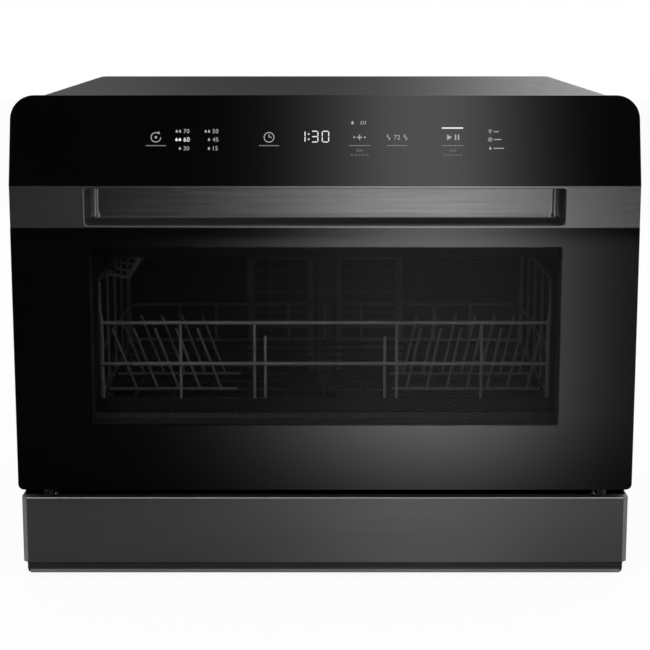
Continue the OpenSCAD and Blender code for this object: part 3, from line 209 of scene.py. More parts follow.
class Finish(Shading):
    """One procedural material on Object coordinates."""

    def __init__(self, name, color, roughness, metallic=0.0, **sockets):
        self.material = bpy.data.materials.new(name)
        super().__init__(self.material)
        self.shader = self.nodes["Principled BSDF"]
        self.place = self.nodes.new("ShaderNodeTexCoord").outputs["Object"]
        self.set("Base Color", (*color, 1.0))
        self.set("Roughness", roughness)
        self.set("Metallic", metallic)
        for socket, value in sockets.items():
            self.set(socket.replace("_", " "), value)

    def set(self, socket, value):
        self.shader.inputs[socket].default_value = value

    def stretched(self, scale):
        mapping = self.nodes.new("ShaderNodeMapping")
        mapping.inputs["Scale"].default_value = scale
        self.links.new(self.place, mapping.inputs["Vector"])
        return mapping.outputs["Vector"]

    def noise(self, scale, detail=3.0, stretch=None):
        node = self.nodes.new("ShaderNodeTexNoise")
        node.inputs["Scale"].default_value = scale
        node.inputs["Detail"].default_value = detail
        self.links.new(self.stretched(stretch) if stretch else self.place, node.inputs["Vector"])
        return node.outputs["Fac"]

    def cells(self, scale, stretch=None):
        node = self.nodes.new("ShaderNodeTexVoronoi")
        node.inputs["Scale"].default_value = scale
        self.links.new(self.stretched(stretch) if stretch else self.place, node.inputs["Vector"])
        return node.outputs["Distance"]

    def box_mask(self, middle, half, soft):
        """1 inside an upright rectangle across X and Z, 0 outside it."""
        split = self.nodes.new("ShaderNodeSeparateXYZ")
        self.links.new(self.place, split.inputs[0])
        masks = []
        for axis, centre, reach in (("X", middle[0], half[0]), ("Z", middle[1], half[1])):
            offset = self.maths("SUBTRACT", split.outputs[axis], centre)
            masks.append(self.ranged(self.maths("ABSOLUTE", offset), 1.0, 0.0, reach - soft, reach))
        return self.maths("MULTIPLY", *masks)

    def roughen(self, value, low, high):
        self.links.new(self.ranged(value, low, high), self.shader.inputs["Roughness"])
        return self

    def shade(self, value, dark, light, start=0.3, end=0.7):
        mix = self.nodes.new("ShaderNodeMix")
        mix.data_type = "RGBA"
        mix.inputs["A"].default_value = (*dark, 1.0)
        mix.inputs["B"].default_value = (*light, 1.0)
        self.links.new(self.ranged(value, 0.0, 1.0, start, end), mix.inputs["Factor"])
        self.links.new(mix.outputs["Result"], self.shader.inputs["Base Color"])
        return self

    def bump(self, value, depth):
        node = self.nodes.new("ShaderNodeBump")
        node.inputs["Distance"].default_value = depth
        node.inputs["Strength"].default_value = 1.0
        self.links.new(value, node.inputs["Height"])
        below = self.shader.inputs["Normal"].links
        if below:
            self.links.new(below[0].from_socket, node.inputs["Normal"])
        self.links.new(node.outputs["Normal"], self.shader.inputs["Normal"])
        return self


def varied(color, share):
    """The colour a little darker and a little lighter."""
    return tuple(c * (1 - share) for c in color), tuple(min(1.0, c * (1 + share)) for c in color)


def powder_coat(name, color, roughness):
    """Paint with a fine orange peel."""
    finish = Finish(name, color, roughness)
    peel = finish.noise(1500, 2.0)
    finish.bump(peel, 0.00004).roughen(finish.noise(60), roughness - 0.02, roughness + 0.03)
    return finish.shade(finish.noise(400, 2.0), *varied(color, 0.05)).material


def brushed_metal(name, color, roughness, lay, metallic=1.0, depth=0.000012):
    """Metal with fine scratches along the lay, which is 0 for X, 1 for Y and 2 for Z."""
    finish = Finish(name, color, roughness, metallic)
    drawn_out = 0.012
    stretch = [1.0, 1.0, 1.0]
    stretch[lay] = drawn_out
    hair = finish.noise(1700, 3.0, stretch)
    finish.roughen(hair, roughness - 0.04, roughness + 0.06)
    finish.bump(hair, depth)
    return finish.shade(finish.noise(700, 2.0, stretch), *varied(color, 0.05)).material


def moulded(name, color, roughness):
    """Injection-moulded plastic with a fine grain."""
    finish = Finish(name, color, roughness)
    finish.bump(finish.noise(2400, 2.0), 0.00003)
    finish.roughen(finish.noise(120), roughness - 0.04, roughness + 0.06)
    return finish.shade(finish.noise(22), *varied(color, 0.08)).material


def satin(name, color):
    """Plain satin trim."""
    finish = Finish(name, color, 0.45)
    finish.roughen(finish.noise(260), 0.4, 0.52)
    return finish.shade(finish.noise(90, 2.0), *varied(color, 0.06)).material


def rubber(name, color):
    finish = Finish(name, color, 0.62)
    finish.bump(finish.noise(3000, 2.0), 0.00002)
    return finish.shade(finish.noise(180, 4.0), *varied(color, 0.25)).material


def gloss_black(name, window_opacity=None, **sockets):
    """Glass that is printed black, and tinted over the window if an opacity is given."""
    finish = Finish(name, (0.0016, 0.0016, 0.0017), 0.05, **sockets)
    finish.roughen(finish.noise(7, 2.0), 0.035, 0.06)
    if window_opacity is not None:
        window = finish.box_mask(WINDOW_MIDDLE, WINDOW_HALF, 1.5 * MM)
        opacity = finish.ranged(window, 1.0, window_opacity, 0.0, 1.0)
        finish.links.new(opacity, finish.shader.inputs["Alpha"])
    cloud = finish.noise(5, 2.0)
    return finish.shade(cloud, (0.0014, 0.0014, 0.0015), (0.0018, 0.0018, 0.0019)).material


def smoked_glass(name, opacity):
    """Smoked inner glass of the door."""
    finish = Finish(name, (0.006, 0.006, 0.007), 0.04, Alpha=opacity, Specular_IOR_Level=0.12)
    finish.roughen(finish.noise(9, 2.0), 0.03, 0.07)
    cloud = finish.noise(5, 2.0)
    return finish.shade(cloud, (0.005, 0.005, 0.006), (0.007, 0.007, 0.008)).material


def nylon_coat(name, color):
    finish = Finish(name, color, 0.32)
    finish.bump(finish.noise(900, 2.0), 0.00005)
    finish.roughen(finish.noise(140), 0.27, 0.42)
    return finish.shade(finish.noise(40), *varied(color, 0.1)).material


def spring_wire(name):
    finish = Finish(name, (0.62, 0.62, 0.6), 0.2, 1.0)
    finish.roughen(finish.noise(900), 0.15, 0.32)
    return finish.shade(finish.noise(300), (0.5, 0.5, 0.48), (0.68, 0.68, 0.66)).material


def circuit_board(name):
    finish = Finish(name, (0.012, 0.09, 0.04), 0.35)
    tracks = finish.cells(420, (1.0, 3.0, 1.0))
    finish.bump(tracks, 0.00005)
    return finish.shade(tracks, (0.008, 0.06, 0.03), (0.03, 0.15, 0.07), 0.1, 0.6).material


def zinc_plate(name):
    color = (0.46, 0.47, 0.48)
    finish = Finish(name, color, 0.4, 0.9)
    spangle = finish.cells(130)
    finish.roughen(spangle, 0.32, 0.52)
    return finish.shade(spangle, *varied(color, 0.14), 0.0, 0.9).material


def lit_mark(name, glow):
    """Printed mark on the panel, lit from behind."""
    finish = Finish(name, (0.08, 0.08, 0.08), 0.5)
    finish.set("Emission Color", (1.0, 1.0, 1.0, 1.0))
    finish.set("Emission Strength", glow)
    return finish.shade(finish.noise(2000), (0.06,) * 3, (0.09,) * 3).material


def slot_finishes(colors):
    """One material for each material slot of the record."""
    steel = tuple(colors.steel)
    band = tuple(colors.band)
    return {
        "wrap_paint": powder_coat("satin_black_coat", tuple(colors.cabinet), 0.33),
        "zinc_sheet": zinc_plate("zinc_sheet"),
        "black_plastic": moulded("black_moulding", (0.013, 0.013, 0.014), 0.45),
        "black_stainless": brushed_metal("dark_brushed_band", band, 0.2, 0,
                                         metallic=0.91, depth=0.000006),
        "grey_trim": moulded("grey_plinth", (0.016, 0.016, 0.017), 0.5),
        # The tub steel's dark colour is painted shade for the dim inside of the tub
        "stainless": brushed_metal("shaded_tub_stainless", steel, 0.42, 1),
        "seal_rubber": rubber("seal_rubber", (0.014, 0.014, 0.015)),
        "spring_steel": spring_wire("spring_wire"),
        "grey_plastic": moulded("grey_moulding", (0.075, 0.078, 0.083), 0.42),
        "white_plastic": moulded("white_moulding", (0.68, 0.68, 0.66), 0.4),
        "pale_plastic": moulded("pale_moulding", (0.34, 0.35, 0.36), 0.4),
        "black_glass": gloss_black("tinted_door_glass", colors.glass_opacity,
                                   Specular_IOR_Level=0.6),
        "clear_glass": smoked_glass("inner_smoked_glass", colors.inner_opacity),
        "gloss_panel": gloss_black("gloss_black_panel"),
        "circuit_board": circuit_board("solder_mask"),
        "rack_coating": nylon_coat("rack_nylon", tuple(colors.rack)),
    }


def special_finishes(colors):
    """Nodes whose finish differs from the rest of their slot."""
    return {
        "kick_panel": brushed_metal("satin_kick_panel", tuple(colors.kick), 0.36, 0,
                                    metallic=0.79, depth=0.000005),
        "feed_pipe": moulded("pale_pipe", (0.42, 0.425, 0.43), 0.35),
        "window_gasket": moulded("grey_surround", (0.028, 0.028, 0.029), 0.4),
        # Rack floor wires coloured far darker than the tines and rim: painted shade
        "rack_floor": nylon_coat("shaded_floor_nylon", (0.14, 0.142, 0.144)),
        "rack_tines": nylon_coat("tine_nylon", (0.75, 0.755, 0.76)),
        "cup_shelf": nylon_coat("shelf_nylon", (0.8, 0.805, 0.81)),
    }


# Modelling helpers

def add_object(bm, name, finish):
    """Turns a bmesh into a named object with one finish."""
    mesh = bpy.data.meshes.new(name)
    bm.to_mesh(mesh)
    bm.free()
    made = bpy.data.objects.new(name, mesh)
    bpy.context.scene.collection.objects.link(made)
    mesh.materials.append(finish)
    return made


def add_piece(bm, name, body, finish):
    """Turns a bmesh into a named piece that rides on a CAD body."""
    piece = add_object(bm, name, bpy.data.materials[finish])
    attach(piece, body)
    return piece


def slab(bm, low, high, edge=0.0):
    """Block between two corners, with its edges softened if their width is given."""
    low, high = Vector(low), Vector(high)
    size = high - low
    made = bmesh.ops.create_cube(
        bm, size=1.0,
        matrix=Matrix.Translation((low + high) / 2) @ Matrix.Diagonal((*size, 1.0)))
    if edge:
        edges = {e for v in made["verts"] for e in v.link_edges}
        bmesh.ops.bevel(bm, geom=list(edges), offset=edge, offset_type="OFFSET", segments=2,
                        profile=0.5, affect="EDGES", material=-1)


def turned(bm, profile, centre, axis, steps):
    """Round form from (radius, height) points, spun about an axis through centre."""
    axis = Vector(axis).normalized()
    side = axis.orthogonal().normalized()
    centre = Vector(centre)
    verts = [bm.verts.new(centre + side * r + axis * h) for r, h in profile]
    edges = [bm.edges.new(pair) for pair in zip(verts, verts[1:])]
    bmesh.ops.spin(bm, geom=verts + edges, cent=centre, axis=axis,
                   angle=math.tau, steps=steps, use_merge=True)


def tidy(bm):
    bmesh.ops.remove_doubles(bm, verts=bm.verts, dist=1e-6)
    bmesh.ops.recalc_face_normals(bm, faces=bm.faces)


# Control panel

class PanelDrawing:
    """Flat marks in the panel's own plane: x to the right of its middle, y up its slope."""

    def __init__(self, sizes):
        self.bm = bmesh.new()
        self.ink = sizes.ink
        foot = Vector((0.0, PANEL_LOW.y, PANEL_LOW.z))
        self.plane = Matrix.Translation(foot) @ Matrix.Rotation(math.pi / 2 - sizes.lean, 4, "X")

    def bar(self, x, y, width, height, turn=0.0):
        bmesh.ops.create_grid(
            self.bm, x_segments=1, y_segments=1, size=0.5,
            matrix=Matrix.Translation((x, y, 0)) @ Matrix.Rotation(turn, 4, "Z")
            @ Matrix.Diagonal((width, height, 1.0, 1.0)))

    def disc(self, x, y, radius, corners=20, turn=0.0):
        bmesh.ops.create_circle(
            self.bm, cap_ends=True, radius=radius, segments=corners,
            matrix=Matrix.Translation((x, y, 0)) @ Matrix.Rotation(turn, 4, "Z"))

    def ring(self, x, y, radius, line, start=0.0, sweep=math.tau):
        """Arc of a ring, from a start angle round through sweep."""
        centre = Vector((x, y, 0))
        aim = Vector((math.cos(start), math.sin(start), 0))
        ends = [self.bm.verts.new(centre + aim * (radius + side * line / 2)) for side in (-1, 1)]
        edge = self.bm.edges.new(ends)
        steps = max(6, round(28 * sweep / math.tau))
        bmesh.ops.spin(self.bm, geom=ends + [edge], cent=centre, axis=(0, 0, 1), angle=sweep,
                       steps=steps, use_merge=sweep > math.tau - 0.01)

    def drop(self, x, y, radius):
        """Water drop: a disc with a pointed top."""
        self.disc(x, y, radius)
        self.disc(x, y + radius * 0.85, radius * 0.98, 3)

    def digits(self, text, x, y, height):
        """Plain numbers, set to a height and centred on x and y."""
        curve = bpy.data.curves.new("digits", "FONT")
        curve.body = text
        curve.space_character = 1.05
        holder = bpy.data.objects.new("digits", curve)
        bpy.context.scene.collection.objects.link(holder)
        shown = bpy.context.evaluated_depsgraph_get()
        mesh = bpy.data.meshes.new_from_object(holder.evaluated_get(shown))
        bpy.data.objects.remove(holder)
        bpy.data.curves.remove(curve)
        corners = [v.co for v in mesh.vertices]
        low = Vector([min(c[i] for c in corners) for i in range(3)])
        high = Vector([max(c[i] for c in corners) for i in range(3)])
        scale = height / (high.y - low.y)
        middle = (low + high) / 2
        mesh.transform(Matrix.Translation((x, y, 0)) @ Matrix.Scale(scale, 4)
                       @ Matrix.Translation(-middle))
        self.bm.from_mesh(mesh)
        bpy.data.meshes.remove(mesh)

    def segments(self, digit, x, y, height, stroke):
        """One digit of a seven-segment display."""
        lit = {"0": "abcdef", "1": "bc", "3": "abgcd"}[digit]
        reach = height * 0.27
        half = height / 2 - stroke / 2
        gap = stroke * 0.25
        across = 2 * reach - stroke - 2 * gap
        upright = half - 0.4 * stroke - 2 * gap
        places = {
            "a": (0, half, across, stroke), "g": (0, 0, across, stroke),
            "d": (0, -half, across, stroke),
            "b": (reach, half / 2, stroke, upright), "c": (reach, -half / 2, stroke, upright),
            "f": (-reach, half / 2, stroke, upright), "e": (-reach, -half / 2, stroke, upright),
        }
        for name in lit:
            dx, dy, width, tall = places[name]
            self.bar(x + dx, y + dy, width, tall)

    def finish(self, name, finish):
        tidy(self.bm)
        for face in self.bm.faces:
            if face.normal.z < 0:
                face.normal_flip()
        bmesh.ops.solidify(self.bm, geom=self.bm.faces[:], thickness=-self.ink)
        self.bm.transform(self.plane)
        add_piece(self.bm, name, "door", finish)


def draw_dim_marks(sizes):
    """Keys and list entries that glow faintly."""
    art = PanelDrawing(sizes)
    row = sizes.row
    line = 0.7 * MM
    # Programme key: a ring with an arrow head
    key = -147.4 * MM
    art.ring(key, row, 4.2 * MM, line, math.radians(60), math.radians(300))
    art.disc(key + 2.3 * MM, row + 3.8 * MM, 1.5 * MM, 3, math.radians(-10))
    art.disc(key, row, 1.1 * MM)
    # Programme lists as plain numbers
    number = 3.7 * MM
    for text, x, y in (("70", -123.4, 48.4), ("30", -123.4, 33.2), ("50", -98.1, 48.4),
                       ("45", -98.1, 41.0), ("15", -98.1, 33.2)):
        art.digits(text, (x + 2.6) * MM, y * MM, number)
        for k in range(2 if text in ("70", "50") else 1):
            art.drop((x - 3.0 - 2.9 * k) * MM, (y - 0.3) * MM, 1.0 * MM)
    # Delay key: a clock
    key = -48.8 * MM
    art.ring(key, row, 4.3 * MM, line)
    art.bar(key, row + 1.3 * MM, line, 3.0 * MM)
    art.bar(key + 1.1 * MM, row, 2.4 * MM, line)
    # Wash and dry signs over the extra key
    art.drop(24.0 * MM, 55.6 * MM, 1.2 * MM)
    for k in range(3):
        art.bar((31.5 + 1.9 * k) * MM, 55.9 * MM, 0.6 * MM, 3.2 * MM, math.radians(-14))
    # Extra key: a plus sign between two dots
    key = 30.1 * MM
    art.bar(key, row, 4.6 * MM, 0.9 * MM)
    art.bar(key, row, 0.9 * MM, 4.6 * MM)
    for side in (-1, 1):
        art.disc(key + side * 4.6 * MM, row, 0.8 * MM)
    # Hot rinse key: the temperature between two waves
    key = 62.8 * MM
    art.digits("72", key, row, 4.0 * MM)
    for side in (-1, 1):
        art.ring(key + side * 7.4 * MM, row + 1.1 * MM, 1.15 * MM, line, math.pi / 2, math.pi)
        art.ring(key + side * 7.4 * MM, row - 1.1 * MM, 1.15 * MM, line, -math.pi / 2, math.pi)
    # Start and pause key
    key = 111.2 * MM
    art.disc(key - 3.4 * MM, row, 2.9 * MM, 3, -math.pi / 2)
    for k in range(2):
        art.bar(key + (2.6 + 2.6 * k) * MM, row, 1.2 * MM, 4.9 * MM)
    # Status signs: radio arcs, a plate and a drop
    column = 144.0 * MM
    art.disc(column, 47.0 * MM, 0.6 * MM)
    for k in range(2):
        art.ring(column, 47.0 * MM, (1.5 + 1.1 * k) * MM, 0.5 * MM,
                 math.radians(45), math.radians(90))
    art.ring(column, 41.0 * MM, 1.6 * MM, 0.5 * MM)
    art.disc(column, 41.0 * MM, 0.7 * MM)
    art.drop(column, 33.0 * MM, 1.1 * MM)
    for k, y in enumerate((48.0, 41.0, 33.2)):
        art.bar(column + (5.4 + k) * MM, y * MM, (4.2 + 2.4 * k) * MM, 0.8 * MM)
    art.finish("panel_marks_dim", "mark_dim")


def draw_bright_marks(sizes):
    """The running programme, the display and the bar over the start key."""
    art = PanelDrawing(sizes)
    art.digits("60", -120.6 * MM, 41.0 * MM, 3.9 * MM)
    for k in range(2):
        art.drop((-126.5 - 2.9 * k) * MM, 40.7 * MM, 1.1 * MM)
    middle = 43.6 * MM
    height = 10.4 * MM
    stroke = 0.85 * MM
    for digit, x in (("1", -20.2), ("3", -9.0), ("0", 0.4)):
        art.segments(digit, x * MM, middle, height, stroke)
    for side in (-1, 1):
        art.disc(-14.2 * MM, middle + side * 2.3 * MM, 0.7 * MM)
    art.bar(111.2 * MM, 51.2 * MM, 18.6 * MM, 1.15 * MM)
    art.finish("panel_marks_bright", "mark_bright")


def draw_faint_marks(sizes):
    """Underlines of the touch keys, and the hold times under two of them."""
    art = PanelDrawing(sizes)
    under = sizes.row - sizes.line_drop
    for x, width in ((-147.4, 17.6), (-48.8, 17.6), (30.1, 18.4), (62.8, 17.6), (111.2, 18.4)):
        art.bar(x * MM, under, width * MM, 0.8 * MM)
    for x in (30.1, 111.2):
        art.digits("0:03", x * MM, under - 4.2 * MM, 2.3 * MM)
        for k in range(5):
            art.bar((x - 6.8 + 3.4 * k) * MM, under - 8.3 * MM, 2.2 * MM, 0.6 * MM)
    art.finish("panel_marks_faint", "mark_faint")


# Handle scoop

def frame_outline(half_width, low, high, low_r, high_r):
    """Points round a soft rectangle in X and Z, from its lower left to its upper left corner."""
    steps = 8
    corners = ((-1, -1, low_r, math.pi), (1, -1, low_r, 1.5 * math.pi),
               (1, 1, high_r, 0.0), (-1, 1, high_r, 0.5 * math.pi))
    points = []
    for side_x, side_z, radius, start in corners:
        across = side_x * (half_width - radius)
        up = low + radius if side_z < 0 else high - radius
        for k in range(steps + 1):
            angle = start + 0.5 * math.pi * k / steps
            points.append((across + radius * math.cos(angle), up + radius * math.sin(angle)))
    return points


def scoop_rings():
    """Rings of the pressed band: its folded edge, its face, the rolled lip, and the pocket."""
    half = BAND_HIGH.x
    low, high = BAND_LOW.z, BAND_HIGH.z
    # Face of the band. Support rings keep its shading flat
    fold, edge, support = 8 * MM, 0.5 * MM, 0.15 * MM
    band_corner = 0.3 * MM
    # Opening with its rolled lip
    opening = 209.7 * MM
    sill, head = low + 2.1 * MM, high - 2.6 * MM
    roll, roll_steps = 0.9 * MM, 4
    # Pocket: drafted walls up to wall_end, with the finger hook open above from hook_start
    hook, hook_start = high + 12.5 * MM, 9.5 * MM
    wall_end = 19.3 * MM
    draft, rise = 4.2 * MM, 0.8 * MM
    low_corner, high_corner = 4 * MM, 1.5 * MM
    # Fillet between the walls and the back
    fillet, side_fillet, top_fillet = 7 * MM, 4.6 * MM, 2 * MM
    fillet_steps = 9
    rings = []

    def band_ring(deep, inset):
        rings.append((deep, frame_outline(half - inset, low + inset, high - inset,
                                          band_corner, band_corner)))

    def pocket_ring(deep, wide, bottom, top):
        rings.append((deep, frame_outline(wide, bottom, top, low_corner, high_corner)))

    for deep, inset in ((fold, 0.0), (edge, 0.0), (0.3 * edge, 0.3 * edge), (0.0, edge),
                        (0.0, edge + support)):
        band_ring(deep, inset)
    spread = roll + support
    pocket_ring(0.0, opening + spread, sill - spread, head + spread)
    for k in range(roll_steps + 1):
        angle = 0.5 * math.pi * k / roll_steps
        spread = roll * (1 - math.sin(angle))
        pocket_ring(roll * (1 - math.cos(angle)), opening + spread, sill - spread, head + spread)
    for deep in (1.1 * MM, 3 * MM, 6 * MM, 9 * MM, 9.6 * MM, 14 * MM, wall_end):
        share = (deep - roll) / (wall_end - roll)
        pocket_ring(deep, opening - draft * share, sill + rise * share,
                    head if deep < hook_start else hook)
    for k in range(1, fillet_steps + 2):
        angle = 0.5 * math.pi * min(k, fillet_steps) / fillet_steps
        draw = 1 - math.cos(angle)
        extra = support if k > fillet_steps else 0.0
        pocket_ring(wall_end + fillet * math.sin(angle),
                    opening - draft - side_fillet * draw - extra,
                    sill + rise + fillet * draw + extra, hook - top_fillet * draw - extra)
    return rings


def handle_scoop():
    """Band and pocket as one pressing with a rolled lip and soft inner corners."""
    bm = bmesh.new()
    rows = [[bm.verts.new((x, BAND_LOW.y + deep, z)) for x, z in ring]
            for deep, ring in scoop_rings()]
    for outer, inner in zip(rows, rows[1:]):
        for k in range(len(outer)):
            nxt = (k + 1) % len(outer)
            bm.faces.new((outer[k], outer[nxt], inner[nxt], inner[k]))
    bm.faces.new(rows[-1])
    bmesh.ops.recalc_face_normals(bm, faces=bm.faces)
    bm.normal_update()
    back = max(bm.faces, key=lambda face: len(face.verts))
    if back.normal.y > 0:
        bmesh.ops.reverse_faces(bm, faces=bm.faces[:])
    sheet, crease = 0.8 * MM, math.radians(32)
    bmesh.ops.solidify(bm, geom=bm.faces[:], thickness=sheet)
    if min(v.co.y for v in bm.verts) < BAND_LOW.y - sheet / 2:
        raise RuntimeError("the scoop's sheet grew forwards")
    piece = add_piece(bm, "handle_scoop", "door", "dark_brushed_band")
    piece.data.shade_smooth()
    piece.data.set_sharp_from_angle(angle=crease)
    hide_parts("handle_band", "handle_pocket")


# Trims

def edge_strips():
    """Painted highlight along the top edge of the kick panel, and the plinth's lip painted lighter
    as light falling on its ledge.
    """
    bm = bmesh.new()
    # Light grey strip that stands for the highlight on the kick's top edge
    bevel, proud = 4.8 * MM, 0.15 * MM
    top = KICK_HIGH.z
    slab(bm, (bevel - HALF_WIDTH, KICK_LOW.y - proud, top - 0.9 * MM),
         (HALF_WIDTH - bevel, KICK_LOW.y + 0.6 * MM, top + proud), 0.1 * MM)
    add_piece(bm, "kick_edge", "cabinet", "edge_highlight")
    # Lighter grey strip on the plinth's foot: painted light on its ledge
    bm = bmesh.new()
    foot, end = PLINTH_LOW.z, 3 * MM
    slab(bm, (PLINTH_LOW.x + end, PLINTH_LOW.y - 0.3 * MM, foot - 0.8 * MM),
         (PLINTH_HIGH.x - end, PLINTH_LOW.y + 2 * MM, foot + 2.6 * MM), 0.4 * MM)
    add_piece(bm, "plinth_lip", "cabinet", "painted_light_lip")


def window_ledge():
    """Posts between the notches under the inner glass, and a bead below them, in a lighter grey
    than the surround as painted glints.
    """
    bm = bmesh.new()
    front = SURROUND_LOW.y
    first, pitch, count = -184.9 * MM, 14.8 * MM, 27
    post, soft = 1.2 * MM, 0.2 * MM
    post_low, post_high = 145.4 * MM, 151 * MM
    for k in range(count):
        x = first + k * pitch
        slab(bm, (x, front - 0.3 * MM, post_low), (x + post, front + 1.2 * MM, post_high), soft)
    bead_half, bead_low, bead_high = 203 * MM, 140.6 * MM, 144 * MM
    slab(bm, (-bead_half, front - 0.4 * MM, bead_low),
         (bead_half, front + 0.3 * MM, bead_high), soft)
    add_piece(bm, "window_ledge", "door", "ledge_glint_grey")


def back_wall_frame():
    """Raised borders of the recesses in the back wall, painted pale as a highlight on the tub
    steel.
    """
    bm = bmesh.new()
    front, back = BACK_LOW.y - 0.3 * MM, BACK_LOW.y + 0.3 * MM
    foot, top = 110, 317
    inner, outer = (12.2, 19.3), (78.3, 87.2)
    rails = (158.3, 167.7), (236.3, 245.7), (308.3, top)
    blocks = [(near, far, foot, top) for near, far in (inner, outer)]
    blocks += [(inner[1], outer[0], low, high) for low, high in rails]
    for side in (-1, 1):
        for near, far, low, high in blocks:
            left, right = sorted((side * near * MM, side * far * MM))
            slab(bm, (left, front, low * MM), (right, back, high * MM))
    add_piece(bm, "back_wall_frame", "cabinet", "wall_highlight")


def back_wall_ribs():
    """Fine ribs in the pressed recesses of the tub's back wall, painted pale as a highlight on the
    tub steel.
    """
    bm = bmesh.new()
    wall = BACK_LOW.y + 4 * MM
    proud, half, soft = 1.4 * MM, 0.5 * MM, 0.2 * MM
    inner, outer = 19.5 * MM, 78 * MM
    pitch_x, pitch_z = 21.5 * MM, 11.5 * MM
    shift_x, shift_z = 1.5 * MM, 4 * MM
    columns = int((outer - inner) / pitch_x)
    for low, high in ((116, 158), (168, 236), (246, 308)):
        z0, z1 = low * MM, high * MM
        rows = int((z1 - z0) / pitch_z)
        for side in (-1, 1):
            for k in range(1, columns + 1):
                x = side * (inner + k * pitch_x - shift_x)
                slab(bm, (x - half, wall - proud, z0), (x + half, wall + half, z1), soft)
            left, right = sorted((side * inner, side * outer))
            for k in range(1, rows + 1):
                z = z0 + k * pitch_z - shift_z
                slab(bm, (left, wall - proud * 0.8, z - half), (right, wall + half, z + half), soft)
    add_piece(bm, "back_wall_ribs", "cabinet", "wall_highlight")


def liner_screws():
    """Countersunk screws round the door's inner panel."""
    bm = bmesh.new()
    face = LINER_HIGH.y - 1.4 * MM
    head = [(0.0, 0.9), (1.1, 0.9), (1.1, 1.5), (2.6, 1.2), (3.4, 0.4), (3.4, -0.3)]
    profile = [(r * MM, h * MM) for r, h in head]
    column, row = LINER_HIGH.x - 10 * MM, LINER_HIGH.z - 9 * MM
    places = [(side * column, z) for side in (-1, 1) for z in (0.135, 0.235, 0.335)]
    places += [(x, row) for x in (-0.17, -0.06, 0.06, 0.17)]
    for x, z in places:
        turned(bm, profile, (x, face, z), (0, 1, 0), 20)
    tidy(bm)
    piece = add_piece(bm, "liner_screws", "door", "spring_wire")
    piece.data.shade_smooth()


def inlet_thread():
    """Ridges of the hose thread on the water inlet."""
    bm = bmesh.new()
    root, crest = 12.9 * MM, 13.3 * MM
    profile = [(root, 0.0), (crest, 0.35 * MM), (crest, 0.75 * MM), (root, 1.1 * MM)]
    start, pitch, ridges = INLET_HIGH.y - 11 * MM, 1.8 * MM, 6
    x, z = INLET_MIDDLE
    for k in range(ridges):
        turned(bm, profile, (x, start + k * pitch, z), (0, 1, 0), 48)
    tidy(bm)
    add_piece(bm, "inlet_thread", "cabinet", "white_moulding")


# Operators

def paint_nodes(colors):
    """Gives every CAD node its own finish, or else that of its record slot."""
    slots = {row["node"]: row["material_slot"] for row in frame["record"]["subparts"]}
    common, special = slot_finishes(colors), special_finishes(colors)
    for name, node in frame["nodes"].items():
        for holder in node.material_slots:
            holder.material = special.get(name) or common[slots[name]]


class DISHWASHER_OT_finishes(bpy.types.Operator):
    """Makes the finishes and gives every CAD node its own"""

    bl_idname = "dishwasher.finishes"
    bl_label = "Finish CAD Nodes"

    def execute(self, context):
        colors = context.scene.dishwasher_finishes
        paint_nodes(colors)
        for name, share in (("mark_bright", 1.0), ("mark_dim", 0.38), ("mark_faint", 0.12)):
            lit_mark(name, colors.mark_glow * share)
        # Trim colours: a painted highlight for the kick's edge, painted light on the plinth's lip,
        # painted glints on the window ledge and a painted highlight on the back wall's borders and
        # ribs
        for name, color in (("edge_highlight", (0.42, 0.42, 0.42)),
                            ("painted_light_lip", (0.125, 0.125, 0.126)),
                            ("ledge_glint_grey", (0.06, 0.06, 0.061)),
                            ("wall_highlight", (0.55, 0.555, 0.56))):
            satin(name, color)
        return {"FINISHED"}


class DISHWASHER_OT_panel_marks(bpy.types.Operator):
    """Draws the numbers and signs of the touch panel"""

    bl_idname = "dishwasher.panel_marks"
    bl_label = "Draw Panel Marks"

    def execute(self, context):
        sizes = context.scene.dishwasher_panel
        draw_dim_marks(sizes)
        draw_bright_marks(sizes)
        draw_faint_marks(sizes)
        return {"FINISHED"}


class DISHWASHER_OT_handle_scoop(bpy.types.Operator):
    """Presses the handle band and its pocket out of one sheet"""

    bl_idname = "dishwasher.handle_scoop"
    bl_label = "Press Handle Scoop"

    def execute(self, context):
        handle_scoop()
        return {"FINISHED"}


class DISHWASHER_OT_trims(bpy.types.Operator):
    """Adds edge strips, the window ledge, back wall borders and ribs, screws and the thread"""

    bl_idname = "dishwasher.trims"
    bl_label = "Add Trims"

    def execute(self, context):
        edge_strips()
        window_ledge()
        back_wall_frame()
        back_wall_ribs()
        liner_screws()
        inlet_thread()
        return {"FINISHED"}


# Studio

def aim_camera(studio):
    lens = bpy.data.cameras.new("photo_camera")
    lens.sensor_width = 36.0
    lens.lens = studio.lens
    camera = bpy.data.objects.new("photo_camera", lens)
    bpy.context.scene.collection.objects.link(camera)
    camera.location = (0.0, GLASS_LOW.y - studio.camera_distance, studio.camera_height)
    camera.rotation_euler = (math.pi / 2 - studio.camera_tilt, 0.0, 0.0)
    bpy.context.scene.camera = camera


def light_world(studio):
    """Even light all round, and a white background for rays that look past the machine."""
    world = bpy.data.worlds.new("studio_world")
    bpy.context.scene.world = world
    sky = Shading(world)
    ambient = sky.nodes["Background"]
    white = sky.nodes.new("ShaderNodeBackground")
    for light, strength in ((ambient, studio.ambient), (white, 1.0)):
        light.inputs["Color"].default_value = (1.0, 1.0, 1.0, 1.0)
        light.inputs["Strength"].default_value = strength
    sky.blended(sky.background_rays(), ambient.outputs["Background"],
                white.outputs["Background"], "World Output")


